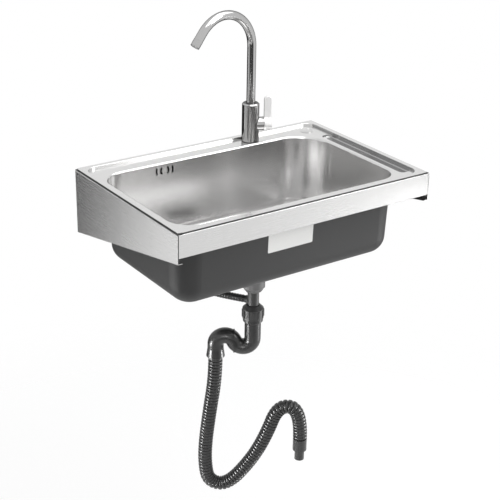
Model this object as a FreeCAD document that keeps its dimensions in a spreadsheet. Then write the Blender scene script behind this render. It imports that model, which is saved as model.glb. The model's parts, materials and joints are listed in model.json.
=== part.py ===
import FreeCAD, Part
import math
import os
from types import SimpleNamespace

import Sketcher

V = FreeCAD.Vector
DOC = FreeCAD.newDocument("wall_sink")
SHEET = DOC.addObject("Spreadsheet::Sheet", "dims")
NODES = []

# Slack for telling whether an edge lies on a plane, share of a run that an arc may take up at each end, and
# the rib's four circles: share of the pitch, and whether it is on the crest.
TOUCH = 0.01
ARC_SHARE = 0.45
RIB_CIRCLES = ((0.0, False), (0.25, True), (0.6, True), (0.85, False))

# Driving sizes, in millimetres and degrees. The wall is the plane Y = 0, the sink stands out along -Y,
# and the origin is the centre of the four wall bolts. Depths in the bowl are measured down from the rim.
SIZES = dict(
    # Stamped bowl: rim, sunk deck and basin
    rim_width=680.0,
    rim_depth=450.0,
    rim_height=85.0,
    rim_corner=4.0,
    rim_edge=2.0,
    rim_border=12.5,
    bowl_sheet=1.0,
    deck_drop=6.0,
    deck_corner=28.0,
    deck_fillet=3.0,
    edge_round=1.4,
    basin_left_border=26.0,
    basin_right_border=54.0,
    basin_back=60.0,
    basin_front_border=32.0,
    basin_depth=205.0,
    basin_corner=55.0,
    basin_corner_wide=95.0,
    basin_draft=2.5,
    basin_floor_round=42.0,
    basin_lip=5.0,
    trough_width=31.0,
    trough_gap=2.0,
    trough_back=100.0,
    trough_front_border=38.0,
    trough_depth=7.0,
    trough_corner=12.0,
    coat_gap=0.2,
    coat_thickness=0.6,
    coat_top=16.0,
    # Bracket of bent sheet
    panel_sheet=1.2,
    panel_stand_out=4.0,
    panel_back_height=156.5,
    panel_front_height=66.0,
    panel_bend=1.5,
    seat_flange=14.0,
    hem_width=12.0,
    wall_flange=38.0,
    wall_bolt_inset=20.0,
    wall_bolt_pitch=80.0,
    wall_hole=9.0,
    apron_height=53.5,
    apron_setback=0.5,
    sheet_gap=0.3,
    tab_width=22.0,
    stud_dia=5.0,
    stud_length=14.0,
    stud_inset=12.0,
    stud_pitch=26.0,
    stud_clearance=0.25,
    nut_flats=8.0,
    nut_height=4.0,
    gasket_thickness=1.5,
    gasket_inset=1.0,
    # Tap
    tap_inset=215.4,
    tap_y=34.0,
    tap_hole=35.0,
    tap_gasket=1.5,
    tap_body_dia=43.0,
    tap_body_height=90.5,
    retainer_height=6.0,
    retainer_chamfer=3.0,
    shank_dia=32.0,
    shank_wall=3.0,
    shank_length=46.0,
    shank_depth=8.0,
    inlet_dia=9.0,
    inlet_pitch=15.0,
    inlet_depth=14.0,
    washer_dia=41.0,
    washer_thickness=3.0,
    shank_nut_flats=36.0,
    shank_nut_height=10.0,
    fit_gap=0.05,
    part_gap=0.3,
    sleeve_dia=26.0,
    sleeve_length=36.0,
    sleeve_floor=18.0,
    ring_section=1.8,
    ring_pitch=8.0,
    ring_start=5.0,
    spout_dia=22.0,
    spout_wall=1.2,
    spout_rise=148.0,
    spout_radius=88.0,
    spout_turn=140.0,
    spout_straight=20.0,
    spout_azimuth=188.0,
    aerator_dia=22.6,
    aerator_length=18.0,
    aerator_wall=1.4,
    aerator_recess=1.5,
    aerator_disc=4.0,
    aerator_hole=2.6,
    aerator_hole_ring=6.2,
    lever_azimuth=-25.0,
    lever_height=41.5,
    boss_dia=34.0,
    boss_reach=33.0,
    cartridge_dia=25.0,
    cartridge_start=8.0,
    mixing_chamber=3.0,
    passage_dia=12.0,
    cartridge_end=26.0,
    socket_start=18.0,
    driver_dia=14.0,
    driver_end=29.0,
    driver_slot=8.2,
    driver_slot_start=19.5,
    pivot_reach=25.0,
    pin_dia=3.0,
    pin_length=12.0,
    stem_dia=8.0,
    stem_start=21.5,
    stem_end=49.0,
    cartridge_nut_dia=29.6,
    cartridge_nut_hole=19.0,
    cartridge_nut_end=31.0,
    lever_dia=34.0,
    lever_length=18.5,
    lever_gap=0.4,
    lever_lift=25.0,
    lever_rise=71.0,
    lever_thickness=9.0,
    lever_round=2.0,
    grub_dia=5.0,
    grub_length=9.0,
    # Blanking cover of the accessory hole
    plug_inset=52.0,
    plug_y=50.0,
    plug_hole=25.0,
    plug_dia=32.0,
    plug_rise=2.6,
    plug_edge=1.0,
    plug_stud=8.0,
    plug_stud_length=20.0,
    plug_nut_flats=26.0,
    plug_nut_height=8.0,
    # Overflow behind the back wall of the basin
    overflow_x=139.0,
    overflow_drop=25.5,
    slot_width=4.6,
    slot_height=19.0,
    slot_inner=10.6,
    slot_outer=22.5,
    overflow_screw_dia=4.0,
    overflow_screw_head=8.0,
    overflow_screw_head_height=2.2,
    housing_width=60.0,
    housing_height=28.0,
    housing_depth=18.0,
    housing_wall=2.0,
    housing_corner=7.0,
    seal_thickness=2.0,
    seal_border=4.0,
    overflow_screw_reach=12.0,
    screw_boss_dia=8.0,
    spigot_dia=13.4,
    spigot_wall=1.5,
    spigot_length=24.0,
    spigot_set=12.0,
    # Strainer in the floor of the basin
    drain_x=0.0,
    drain_recess_dia=118.0,
    drain_recess=3.0,
    drain_hole=92.0,
    flange_dia=112.0,
    strainer_sheet=1.2,
    cup_dia=88.0,
    cup_depth=56.0,
    outlet_dia=44.0,
    outlet_wall=2.0,
    outlet_length=22.0,
    locknut_dia=110.0,
    locknut_height=16.0,
    basket_gap=1.2,
    basket_depth=42.0,
    basket_sheet=0.8,
    basket_hole=5.0,
    basket_hole_ring=24.0,
    basket_hole_count=12.0,
    basket_post=6.0,
    basket_knob_dia=18.0,
    basket_knob_height=9.0,
    basket_post_height=38.0,
    stopper_dia=34.0,
    # Outlet nut, tailpiece with the overflow branch, union nut
    outlet_nut_dia=56.0,
    outlet_nut_lap=15.0,
    outlet_nut_floor=5.0,
    outlet_nut_cone=8.5,
    outlet_cone_dia=47.0,
    nut_wall=3.0,
    rib_depth=1.5,
    rib_width=4.0,
    rib_count=12.0,
    tail_dia=28.0,
    tail_wall=2.0,
    tail_collar_dia=40.0,
    tail_collar=3.0,
    tail_insert=30.0,
    branch_clear=16.0,
    branch_dia=19.0,
    branch_root=20.0,
    union_clear=1.5,
    union_neck=9.0,
    union_roof=5.0,
    union_skirt=20.4,
    union_dia=52.0,
    union_seal_height=5.0,
    # Trap of two moulded bends
    trap_azimuth=145.1,
    trap_dia=40.0,
    trap_wall=2.5,
    trap_socket_dia=44.0,
    trap_collar_dia=49.0,
    trap_collar_gap=1.2,
    trap_collar=7.0,
    trap_collar_taper=5.0,
    trap_neck=44.9,
    trap_bend=23.5,
    trap_swing=22.25,
    trap_seam=1.4,
    trap_seam_proud=2.0,
    trap_fall=41.5,
    trap_bell_taper=13.0,
    trap_bell_dia=46.0,
    trap_bell_depth=11.0,
    # Corrugated drain hose and its end fitting
    hose_crest=36.0,
    hose_root=31.0,
    hose_bore=27.5,
    hose_pitch=8.7,
    fitting_dia=35.6,
    fitting_cuff=33.0,
    fitting_tail_dia=24.6,
    fitting_tail=28.0,
    fitting_spigot=27.2,
    fitting_spigot_length=20.0,
    fitting_bore=20.0,
    # Corrugated overflow hose
    overflow_hose_crest=19.0,
    overflow_hose_root=16.4,
    overflow_hose_bore=13.6,
    overflow_hose_pitch=7.0,
    overflow_hose_lead=38.0,
)

# Route of the drain hose in the vertical plane of the trap, from its seat in the trap's outlet: distance
# out, away from the drain, and height.
HOSE_ROUTE = [
    (0.0, 0.0),
    (0.0, -68.0),
    (13.5, -166.0),
    (24.5, -262.0),
    (25.5, -324.0),
    (16.5, -379.0),
    (-32.5, -390.0),
    (-92.5, -314.0),
    (-128.5, -242.0),
    (-159.5, -147.0),
    (-216.5, -159.0),
    (-216.5, -244.0),
]

# Route of the overflow hose between its straight ends, in the vertical plane through the drain and the
# overflow: distance short of the overflow's outlet, height above the tailpiece's branch.
OVERFLOW_ROUTE = [
    (128.0, 3.0),
    (78.0, 14.0),
    (34.0, 42.0),
    (6.0, 92.0),
]


class Dim:
    """A size that carries its value and the sheet expression that drives it."""

    def __init__(self, value, text):
        self.value = value
        self.text = text

    def __add__(self, other):
        other = as_dim(other)
        return Dim(self.value + other.value, f"({self.text} + {other.text})")

    def __radd__(self, other):
        return as_dim(other) + self

    def __sub__(self, other):
        other = as_dim(other)
        return Dim(self.value - other.value, f"({self.text} - {other.text})")

    def __rsub__(self, other):
        return as_dim(other) - self

    def __mul__(self, other):
        other = as_dim(other)
        return Dim(self.value * other.value, f"({self.text} * {other.text})")

    def __rmul__(self, other):
        return as_dim(other) * self

    def __truediv__(self, other):
        other = as_dim(other)
        return Dim(self.value / other.value, f"({self.text} / {other.text})")

    def __neg__(self):
        return Dim(-self.value, f"(0 - {self.text})")


def as_dim(value):
    """Turn a plain number into a Dim, and leave a Dim as it is."""
    if isinstance(value, Dim):
        return value
    return Dim(float(value), f"({value:.9g})")


def num(value):
    """The number that a Dim or a plain number stands for."""
    return as_dim(value).value


def sine(angle):
    angle = as_dim(angle)
    return Dim(math.sin(math.radians(angle.value)), f"sin({angle.text} * 1 deg)")


def cosine(angle):
    angle = as_dim(angle)
    return Dim(math.cos(math.radians(angle.value)), f"cos({angle.text} * 1 deg)")


def tangent(angle):
    angle = as_dim(angle)
    return Dim(math.tan(math.radians(angle.value)), f"tan({angle.text} * 1 deg)")


def root(value):
    value = as_dim(value)
    return Dim(math.sqrt(value.value), f"sqrt({value.text})")


def fill_sheet():
    """Write the driving sizes to the spreadsheet and return them as Dims."""
    for row, (alias, value) in enumerate(SIZES.items(), 1):
        SHEET.set(f"A{row}", alias)
        SHEET.set(f"B{row}", str(value))
        SHEET.setAlias(f"B{row}", alias)
    DOC.recompute()
    return SimpleNamespace(**{alias: Dim(float(SHEET.get(alias)), f"dims.{alias}") for alias in SIZES})


D = fill_sheet()


def bind(target, path, value):
    """Drive a property by a sheet expression."""
    target.setExpression(path, as_dim(value).text)


def new_body(label, x=0, y=0, z=0, turn=0):
    """A body of its own label, placed at x, y, z and turned about the vertical."""
    body = DOC.addObject("PartDesign::Body", label)
    body.Label = label
    place(body, x, y, z, turn)
    NODES.append(body)
    return body


def place(target, x, y, z, turn=0, tilt=0):
    """Turn about the vertical after a tilt about the local Y axis, then move."""
    spin = FreeCAD.Rotation(V(0, 0, 1), num(turn)) * FreeCAD.Rotation(V(0, 1, 0), num(tilt))
    target.Placement = FreeCAD.Placement(V(num(x), num(y), num(z)), spin)
    for axis, value in zip("xyz", (x, y, z)):
        if isinstance(value, Dim):
            bind(target, f"Placement.Base.{axis}", value)


def origin_feature(body, role):
    return next(item for item in body.Origin.OriginFeatures if item.Role == role)


def sketch(body, plane, *loops, lift=None):
    """A sketch of closed loops on an origin plane of the body, lifted along the plane's normal."""
    outline = body.newObject("Sketcher::SketchObject", body.Name + "_outline")
    outline.AttachmentSupport = [(origin_feature(body, plane + "_Plane"), "")]
    outline.MapMode = "FlatFace"
    if lift is not None:
        bind(outline, "AttachmentOffset.Base.z", lift)
    for loop in loops:
        draw_loop(outline, loop)
    return outline


def pin_value(outline, kind, geometry, point, value):
    """Constrain one coordinate or radius, by expression when the value is a Dim."""
    if point is None:
        index = outline.addConstraint(Sketcher.Constraint(kind, geometry, num(value)))
    else:
        index = outline.addConstraint(Sketcher.Constraint(kind, geometry, point, num(value)))
    if isinstance(value, Dim):
        name = f"{kind}_{index}"
        outline.renameConstraint(index, name)
        bind(outline, f"Constraints.{name}", value)


def arc_edge(start, end, radius):
    """Arc of under a half circle from start to end, counter-clockwise when the radius is positive."""
    if radius < 0:
        return arc_edge(end, start, -radius)
    chord = end - start
    half = chord.Length / 2
    rise = math.sqrt(max(radius * radius - half * half, 0.0))
    normal = V(-chord.y, chord.x, 0).normalize()
    centre = (start + end) * 0.5 + normal * rise
    first = math.atan2(start.y - centre.y, start.x - centre.x)
    last = math.atan2(end.y - centre.y, end.x - centre.x)
    return Part.ArcOfCircle(Part.Circle(centre, V(0, 0, 1), radius), first, last)


def draw_loop(outline, points):
    """Closed loop of (x, y) corners; (x, y, r) is reached by an arc, and a lone (x, y, r) is a circle."""
    if len(points) > 1:
        draw_path(outline, points, closed=True)
        return
    x, y, radius = points[0]
    index = outline.GeometryCount
    outline.addGeometry(Part.Circle(V(num(x), num(y), 0), V(0, 0, 1), num(radius)), False)
    pin_value(outline, "DistanceX", index, 3, x)
    pin_value(outline, "DistanceY", index, 3, y)
    pin_value(outline, "Radius", index, None, radius)


def draw_path(outline, points, closed=False):
    """Lines and arcs from point to point, every point held by its two coordinates."""
    first = outline.GeometryCount
    legs = points if closed else points[1:]
    ends = []
    for index, point in enumerate(legs):
        before = legs[index - 1] if closed or index else points[0]
        start = V(num(before[0]), num(before[1]), 0)
        end = V(num(point[0]), num(point[1]), 0)
        if len(point) == 2:
            outline.addGeometry(Part.LineSegment(start, end), False)
            ends.append((1, 2))
        else:
            outline.addGeometry(arc_edge(start, end, num(point[2])), False)
            ends.append((1, 2) if num(point[2]) > 0 else (2, 1))
    count = len(legs)
    for index in range(count if closed else count - 1):
        following = (index + 1) % count
        outline.addConstraint(Sketcher.Constraint(
            "Coincident", first + index, ends[index][1], first + following, ends[following][0]))
    if not closed:
        pin_value(outline, "DistanceX", first, ends[0][0], points[0][0])
        pin_value(outline, "DistanceY", first, ends[0][0], points[0][1])
    for index, point in enumerate(legs):
        pin_value(outline, "DistanceX", first + index, ends[index][1], point[0])
        pin_value(outline, "DistanceY", first + index, ends[index][1], point[1])
        if len(point) == 3:
            size = point[2] if num(point[2]) > 0 else -point[2]
            pin_value(outline, "Radius", first + index, None, size)


def rectangle(x0, y0, x1, y1):
    return [(x0, y0), (x1, y0), (x1, y1), (x0, y1)]


def rounded(x0, y0, x1, y1, corner, far_corner=None):
    """Rectangle with rounded corners; the corner at x1, y1 may have a radius of its own."""
    far = corner if far_corner is None else far_corner
    return [
        (x0 + corner, y0, corner),
        (x1 - corner, y0),
        (x1, y0 + corner, corner),
        (x1, y1 - far),
        (x1 - far, y1, far),
        (x0 + corner, y1),
        (x0, y1 - corner, corner),
        (x0, y0 + corner),
    ]


def hexagon(x, y, flats):
    """Hexagon with two corners on the X axis, from its width across flats."""
    reach = flats / 2 / cosine(30)
    return [(x + reach * cosine(60 * side), y + reach * sine(60 * side)) for side in range(6)]


def extrude(body, kind, outline, length, reverse=False, middle=False, taper=None):
    feature = body.newObject("PartDesign::" + kind, body.Name + "_" + kind.lower())
    feature.Profile = outline
    bind(feature, "Length", length)
    feature.Reversed = reverse
    feature.Midplane = middle
    if taper is not None:
        bind(feature, "TaperAngle", taper)
    outline.Visibility = False
    return feature


def pad(body, outline, length, **options):
    return extrude(body, "Pad", outline, length, **options)


def pocket(body, outline, length, **options):
    return extrude(body, "Pocket", outline, length, **options)


def turn(body, profile, kind="Revolution", axis="V_Axis"):
    """Revolve a profile sketch about its own vertical or horizontal axis."""
    feature = body.newObject("PartDesign::" + kind, body.Name + "_" + kind.lower())
    feature.Profile = profile
    feature.ReferenceAxis = (profile, [axis])
    feature.Angle = 360.0
    return feature


def blend(body, kind, size, choose):
    """Fillet or chamfer the edges of the body that the chooser picks."""
    DOC.recompute()
    base = body.Tip
    picked = [f"Edge{index}" for index, edge in enumerate(base.Shape.Edges, 1) if choose(edge)]
    feature = body.newObject("PartDesign::" + kind, body.Name + "_" + kind.lower())
    feature.Base = (base, picked)
    bind(feature, "Radius" if kind == "Fillet" else "Size", size)
    return feature


def repeat_around(body, feature, count):
    """Repeat a feature round the body's Z axis."""
    pattern = body.newObject("PartDesign::PolarPattern", body.Name + "_pattern")
    pattern.Originals = [feature]
    pattern.Axis = (origin_feature(body, "Z_Axis"), [""])
    pattern.Angle = 360.0
    pattern.Occurrences = int(num(count))
    body.Tip = pattern
    return pattern


def within(edge, low, high, slack=TOUCH):
    """Whether an edge lies inside a box given by two corners."""
    box = edge.BoundBox
    return (box.XMin > low[0] - slack and box.YMin > low[1] - slack and box.ZMin > low[2] - slack
            and box.XMax < high[0] + slack and box.YMax < high[1] + slack and box.ZMax < high[2] + slack)


def at_level(edge, level):
    return abs(edge.BoundBox.ZMin - level) < TOUCH and abs(edge.BoundBox.ZMax - level) < TOUCH


# Places that several pieces share
SEAT = D.rim_edge + D.gasket_thickness
HALF_RIM = D.rim_width / 2
PANEL_FACE = HALF_RIM + D.panel_stand_out
PANEL_FRONT = D.rim_depth + D.panel_stand_out
DECK = D.rim_height - D.deck_drop
TAP_TOP = D.tap_gasket + D.tap_body_height
VALVE = DECK + D.tap_gasket + D.lever_height
DRAIN_SEAT = D.basin_depth + D.drain_recess
BASIN_LEFT = HALF_RIM - D.basin_left_border
BASIN_RIGHT = HALF_RIM - D.basin_right_border
BASIN_FRONT = D.rim_depth - D.basin_front_border
TROUGH_FRONT = D.rim_depth - D.trough_front_border
WALL_BOLT_X = HALF_RIM - D.wall_bolt_inset
TAP_X = HALF_RIM - D.tap_inset
PLUG_X = HALF_RIM - D.plug_inset
DRAIN_Y = (D.basin_back + BASIN_FRONT) / 2


def side_panel(label, side):
    """Tapering side of the bracket, with bent flanges for the seat, the wall, the apron and the hem."""
    body = new_body(label, z=D.rim_height)
    face = PANEL_FACE * side
    back_foot = -(SEAT + D.panel_back_height)
    front_foot = -(SEAT + D.panel_front_height)
    inward = side > 0
    plate = [(as_dim(0), -SEAT), (as_dim(0), back_foot), (-PANEL_FRONT, front_foot), (-PANEL_FRONT, -SEAT)]
    pad(body, sketch(body, "YZ", plate, lift=face), D.panel_sheet, reverse=inward)
    seat = rectangle(face, -tab_place(), face - D.seat_flange * side, as_dim(0))
    pad(body, sketch(body, "XY", seat, lift=-SEAT), D.panel_sheet, reverse=True)
    hem = [(as_dim(0), back_foot), (-PANEL_FRONT, front_foot),
           (-PANEL_FRONT, front_foot + D.panel_sheet), (as_dim(0), back_foot + D.panel_sheet)]
    pad(body, sketch(body, "YZ", hem, lift=face), D.hem_width, reverse=inward)
    bolts = [[(WALL_BOLT_X * side, D.wall_bolt_pitch / 2 * step - D.rim_height, D.wall_hole / 2)]
             for step in (-1, 1)]
    wall = rectangle(face, back_foot + D.panel_sheet, face - D.wall_flange * side, -SEAT)
    pad(body, sketch(body, "XZ", wall, *bolts), D.panel_sheet)
    studs = [[(stud_x() * side, stud_z(row), D.stud_dia / 2 + D.stud_clearance)] for row in (-1, 1)]
    tab_top = -(SEAT + D.panel_sheet + D.sheet_gap)
    tab_foot = D.panel_sheet - (SEAT + D.apron_height)
    tab = rectangle(face, tab_foot, face - D.tab_width * side, tab_top)
    pad(body, sketch(body, "XZ", tab, *studs, lift=tab_place()), D.panel_sheet, reverse=True)
    blend(body, "Fillet", D.panel_bend, lambda edge: outer_bend(edge, num(face)))
    return body


def outer_bend(edge, face):
    """Edges of a side panel's outer face where the sheet is bent: top, bottom and back."""
    box = edge.BoundBox
    on_face = abs(box.XMin - face) < TOUCH and abs(box.XMax - face) < TOUCH
    return on_face and box.YMax > -num(D.panel_sheet)


def stud_x():
    return PANEL_FACE - D.panel_sheet - D.stud_inset


def stud_z(row):
    """Height of a row of apron studs: row -1 is the lower one, 1 the upper one."""
    return D.stud_pitch / 2 * row - (SEAT + D.apron_height / 2)


def tab_place():
    """Distance out from the wall of the front face of the panels' front tabs, behind the apron."""
    return PANEL_FRONT - D.apron_setback - D.panel_sheet


def front_apron():
    body = new_body("front_apron", z=D.rim_height)
    reach = PANEL_FACE - D.panel_sheet - D.sheet_gap
    face = PANEL_FRONT - D.apron_setback
    foot = SEAT + D.apron_height
    plate = rectangle(-reach, -foot, reach, -SEAT)
    pad(body, sketch(body, "XZ", plate, lift=face), D.panel_sheet, reverse=True)
    ends = D.seat_flange + D.sheet_gap
    seat = rectangle(ends - PANEL_FACE, -face, PANEL_FACE - ends, D.seat_flange - face)
    pad(body, sketch(body, "XY", seat, lift=-SEAT), D.panel_sheet, reverse=True)
    tabs = D.tab_width + D.sheet_gap
    hem = rectangle(tabs - PANEL_FACE, -face, PANEL_FACE - tabs, D.hem_width - face)
    pad(body, sketch(body, "XY", hem, lift=-foot), D.panel_sheet)
    studs = [[(stud_x() * side, stud_z(row), D.stud_dia / 2)] for side in (-1, 1) for row in (-1, 1)]
    pad(body, sketch(body, "XZ", *studs, lift=tab_place()), D.stud_length, reverse=True)
    blend(body, "Fillet", D.panel_bend, lambda edge: apron_bend(edge, num(face)))
    return body


def apron_bend(edge, face):
    """Long edges of the apron's outer face at its top and bottom bends."""
    box = edge.BoundBox
    on_face = abs(box.YMin + face) < TOUCH and abs(box.YMax + face) < TOUCH
    return on_face and box.XLength > num(D.rim_width) / 2


def apron_nuts():
    """Four nuts on the apron studs, behind the panels' front tabs."""
    body = new_body("apron_nuts", z=D.rim_height)
    loops = []
    for side in (-1, 1):
        for row in (-1, 1):
            loops.append(hexagon(stud_x() * side, stud_z(row), D.nut_flats))
            loops.append([(stud_x() * side, stud_z(row), D.stud_dia / 2)])
    pad(body, sketch(body, "XZ", *loops, lift=tab_place() - D.panel_sheet), D.nut_height, reverse=True)
    return body


def rim_gasket():
    """Black strip on the bracket's seat flanges, under the rim at the left, front and right."""
    body = new_body("rim_gasket", z=D.rim_height)
    outer = PANEL_FACE - D.gasket_inset
    inner = PANEL_FACE - D.seat_flange
    front = PANEL_FRONT - D.apron_setback
    lead = D.gasket_inset - front
    trail = D.seat_flange - front
    wall = as_dim(0)
    outline = [(-outer, wall), (-outer, lead), (outer, lead), (outer, wall),
               (inner, wall), (inner, trail), (-inner, trail), (-inner, wall)]
    pad(body, sketch(body, "XY", outline, lift=-SEAT), D.gasket_thickness)
    return body


def basin_outline(grow):
    """Plan of the basin at deck level, grown by a wall; its back right corner is the wide one."""
    return rounded(-BASIN_LEFT - grow, -BASIN_FRONT - grow, BASIN_RIGHT + grow, grow - D.basin_back,
                   D.basin_corner + grow, D.basin_corner_wide + grow)


def deck_outline(grow):
    reach = HALF_RIM - D.rim_border + grow
    return rounded(-reach, D.rim_border - D.rim_depth - grow, reach, grow - D.rim_border,
                   D.deck_corner + grow)


def trough_outline(grow):
    outer = HALF_RIM - D.rim_border - D.trough_gap
    return rounded(outer - D.trough_width - grow, -TROUGH_FRONT - grow, outer + grow, grow - D.trough_back,
                   D.trough_corner + grow)


def basin_edges(edge, level):
    """Edges of the basin wall at one level, without those of the deck and the trough."""
    lip = num(D.basin_lip)
    low = (-num(BASIN_LEFT) - lip, -num(BASIN_FRONT) - lip, level)
    high = (num(BASIN_RIGHT) + lip, lip - num(D.basin_back), level)
    return at_level(edge, level) and within(edge, low, high)


def basin_shell(body, outer, inner):
    """Drafted basin as a sheet between two growths of its plan, with both sides of its floor rounded."""
    deck = D.deck_drop
    for kind, grow in (("Pad", outer), ("Pocket", inner)):
        plan = sketch(body, "XY", basin_outline(grow), lift=-deck)
        extrude(body, kind, plan, D.basin_depth + grow - deck, reverse=kind == "Pad", taper=-D.basin_draft)
    for grow in (inner, outer):
        level = -num(D.basin_depth + grow)
        blend(body, "Fillet", D.basin_floor_round + grow, lambda edge: basin_edges(edge, level))


def arc_slot(side, radius):
    """One overflow slot: a curved opening about the screw, on the left or the right of it."""
    outer = radius + D.slot_width / 2
    inner = radius - D.slot_width / 2
    high = D.slot_height / 2 / outer
    wide = root(1 - high * high) * side
    x = -D.overflow_x
    z = -D.overflow_drop
    return [(x + outer * wide, z - outer * high), (x + outer * wide, z + outer * high, outer * side),
            (x + inner * wide, z + inner * high), (x + inner * wide, z - inner * high, -inner * side)]


def sink_bowl():
    """One pressed sheet: rim with a turned edge, sunk deck, trough, drafted basin and the punched holes."""
    body = new_body("sink_bowl", z=D.rim_height)
    sheet = D.bowl_sheet
    rim = rounded(-HALF_RIM, -D.rim_depth, HALF_RIM, as_dim(0), D.rim_corner)
    pad(body, sketch(body, "XY", rim), D.rim_edge, reverse=True)
    under = rounded(sheet - HALF_RIM, sheet - D.rim_depth, HALF_RIM - sheet, -sheet, D.rim_corner - sheet)
    pocket(body, sketch(body, "XY", under, lift=-D.rim_edge), D.rim_edge - sheet, reverse=True)
    pad(body, sketch(body, "XY", deck_outline(sheet)), D.deck_drop + sheet, reverse=True)
    trough_floor = D.trough_depth + sheet
    pad(body, sketch(body, "XY", trough_outline(sheet), lift=-D.deck_drop), trough_floor, reverse=True)
    pocket(body, sketch(body, "XY", deck_outline(as_dim(0))), D.deck_drop)
    pocket(body, sketch(body, "XY", trough_outline(as_dim(0)), lift=-D.deck_drop), D.trough_depth)
    basin_shell(body, sheet, as_dim(0))
    blend(body, "Fillet", D.basin_lip - sheet, lambda edge: basin_edges(edge, -num(D.deck_drop + sheet)))
    recess = D.drain_recess_dia / 2
    drain = (D.drain_x, -DRAIN_Y)
    pad(body, sketch(body, "XY", [(*drain, recess + sheet)], lift=-D.basin_depth),
        D.drain_recess + sheet, reverse=True)
    pocket(body, sketch(body, "XY", [(*drain, recess)], lift=-D.basin_depth), D.drain_recess)
    pocket(body, sketch(body, "XY", [(*drain, D.drain_hole / 2)], lift=-D.basin_depth),
           D.drain_recess + sheet * 2)
    blend(body, "Fillet", D.basin_lip, lambda edge: basin_edges(edge, -num(D.deck_drop)))
    blend(body, "Fillet", D.edge_round, rim_inner_edge)
    blend(body, "Fillet", D.deck_fillet, trough_floor_edge)
    holes = [[(TAP_X, -D.tap_y, D.tap_hole / 2)], [(PLUG_X, -D.plug_y, D.plug_hole / 2)]]
    pocket(body, sketch(body, "XY", *holes, lift=-D.deck_drop), sheet * 2)
    slots = [arc_slot(side, radius) for side in (-1, 1) for radius in (D.slot_inner, D.slot_outer)]
    slots.append([(-D.overflow_x, -D.overflow_drop, D.overflow_screw_dia / 2 + D.part_gap)])
    pocket(body, sketch(body, "XZ", *slots, lift=D.basin_back), D.basin_lip * 2, middle=True)
    return body


def rim_inner_edge(edge):
    """Edge where the flat rim turns down to the deck."""
    reach = num(HALF_RIM - D.rim_border) + TOUCH
    front = num(D.rim_depth - D.rim_border) + TOUCH
    return at_level(edge, 0.0) and within(edge, (-reach, -front, 0), (reach, -num(D.rim_border), 0))


def trough_floor_edge(edge):
    return at_level(edge, -num(D.deck_drop + D.trough_depth))


def bowl_undercoat():
    """Charcoal coating on the outside of the basin, open round the drain and the overflow housing."""
    body = new_body("bowl_undercoat", z=D.rim_height)
    inner = D.bowl_sheet + D.coat_gap
    outer = inner + D.coat_thickness
    basin_shell(body, outer, inner)
    above = rectangle(-HALF_RIM, -D.rim_depth, HALF_RIM, as_dim(0))
    pocket(body, sketch(body, "XY", above), D.coat_top)
    opening = D.drain_recess_dia / 2 + inner + D.part_gap
    pocket(body, sketch(body, "XY", [(D.drain_x, -DRAIN_Y, opening)], lift=-D.basin_depth),
           D.drain_recess + outer)
    wide = D.housing_width / 2 + D.part_gap * 2
    tall = D.housing_height / 2 + D.part_gap * 2
    window = rectangle(
        -D.overflow_x - wide, -D.overflow_drop - tall, wide - D.overflow_x, D.part_gap - D.coat_top)
    pocket(body, sketch(body, "XZ", window, lift=D.basin_back + D.housing_depth), D.housing_depth * 2)
    return body


def tap_part(label, turn_by=0):
    """A body whose origin is on the deck, at the centre of the tap hole."""
    return new_body(label, TAP_X, -D.tap_y, DECK, turn_by)


def valve_part(label):
    """A body whose X axis is the axis of the lever."""
    return new_body(label, TAP_X, -D.tap_y, VALVE, D.lever_azimuth)


def ring_pad(body, outer, inner, start, length, reverse=False):
    """Plain ring about the body's Z axis, from a height upwards or downwards."""
    zero = as_dim(0)
    outline = sketch(body, "XY", [(zero, zero, outer)], [(zero, zero, inner)], lift=start)
    pad(body, outline, length, reverse=reverse)


def faucet_mounting():
    """Gasket on the deck, hollow threaded shank through it, rubber washer and nut below."""
    shank = D.shank_dia / 2
    gasket = tap_part("faucet_base_gasket")
    ring_pad(gasket, D.tap_body_dia / 2 - D.part_gap, shank + D.part_gap, as_dim(0), D.tap_gasket)
    tube = tap_part("faucet_shank")
    above = D.tap_gasket + D.shank_depth
    ring_pad(tube, shank, shank - D.shank_wall, above, above + D.shank_length, reverse=True)
    washer = tap_part("shank_washer")
    ring_pad(washer, D.washer_dia / 2, shank + D.part_gap, -D.bowl_sheet, D.washer_thickness, reverse=True)
    nut = tap_part("shank_nut")
    zero = as_dim(0)
    flats = hexagon(zero, zero, D.shank_nut_flats)
    thread = [(zero, zero, shank + D.fit_gap)]
    outline = sketch(nut, "XY", flats, thread, lift=-(D.bowl_sheet + D.washer_thickness))
    pad(nut, outline, D.shank_nut_height, reverse=True)


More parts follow.
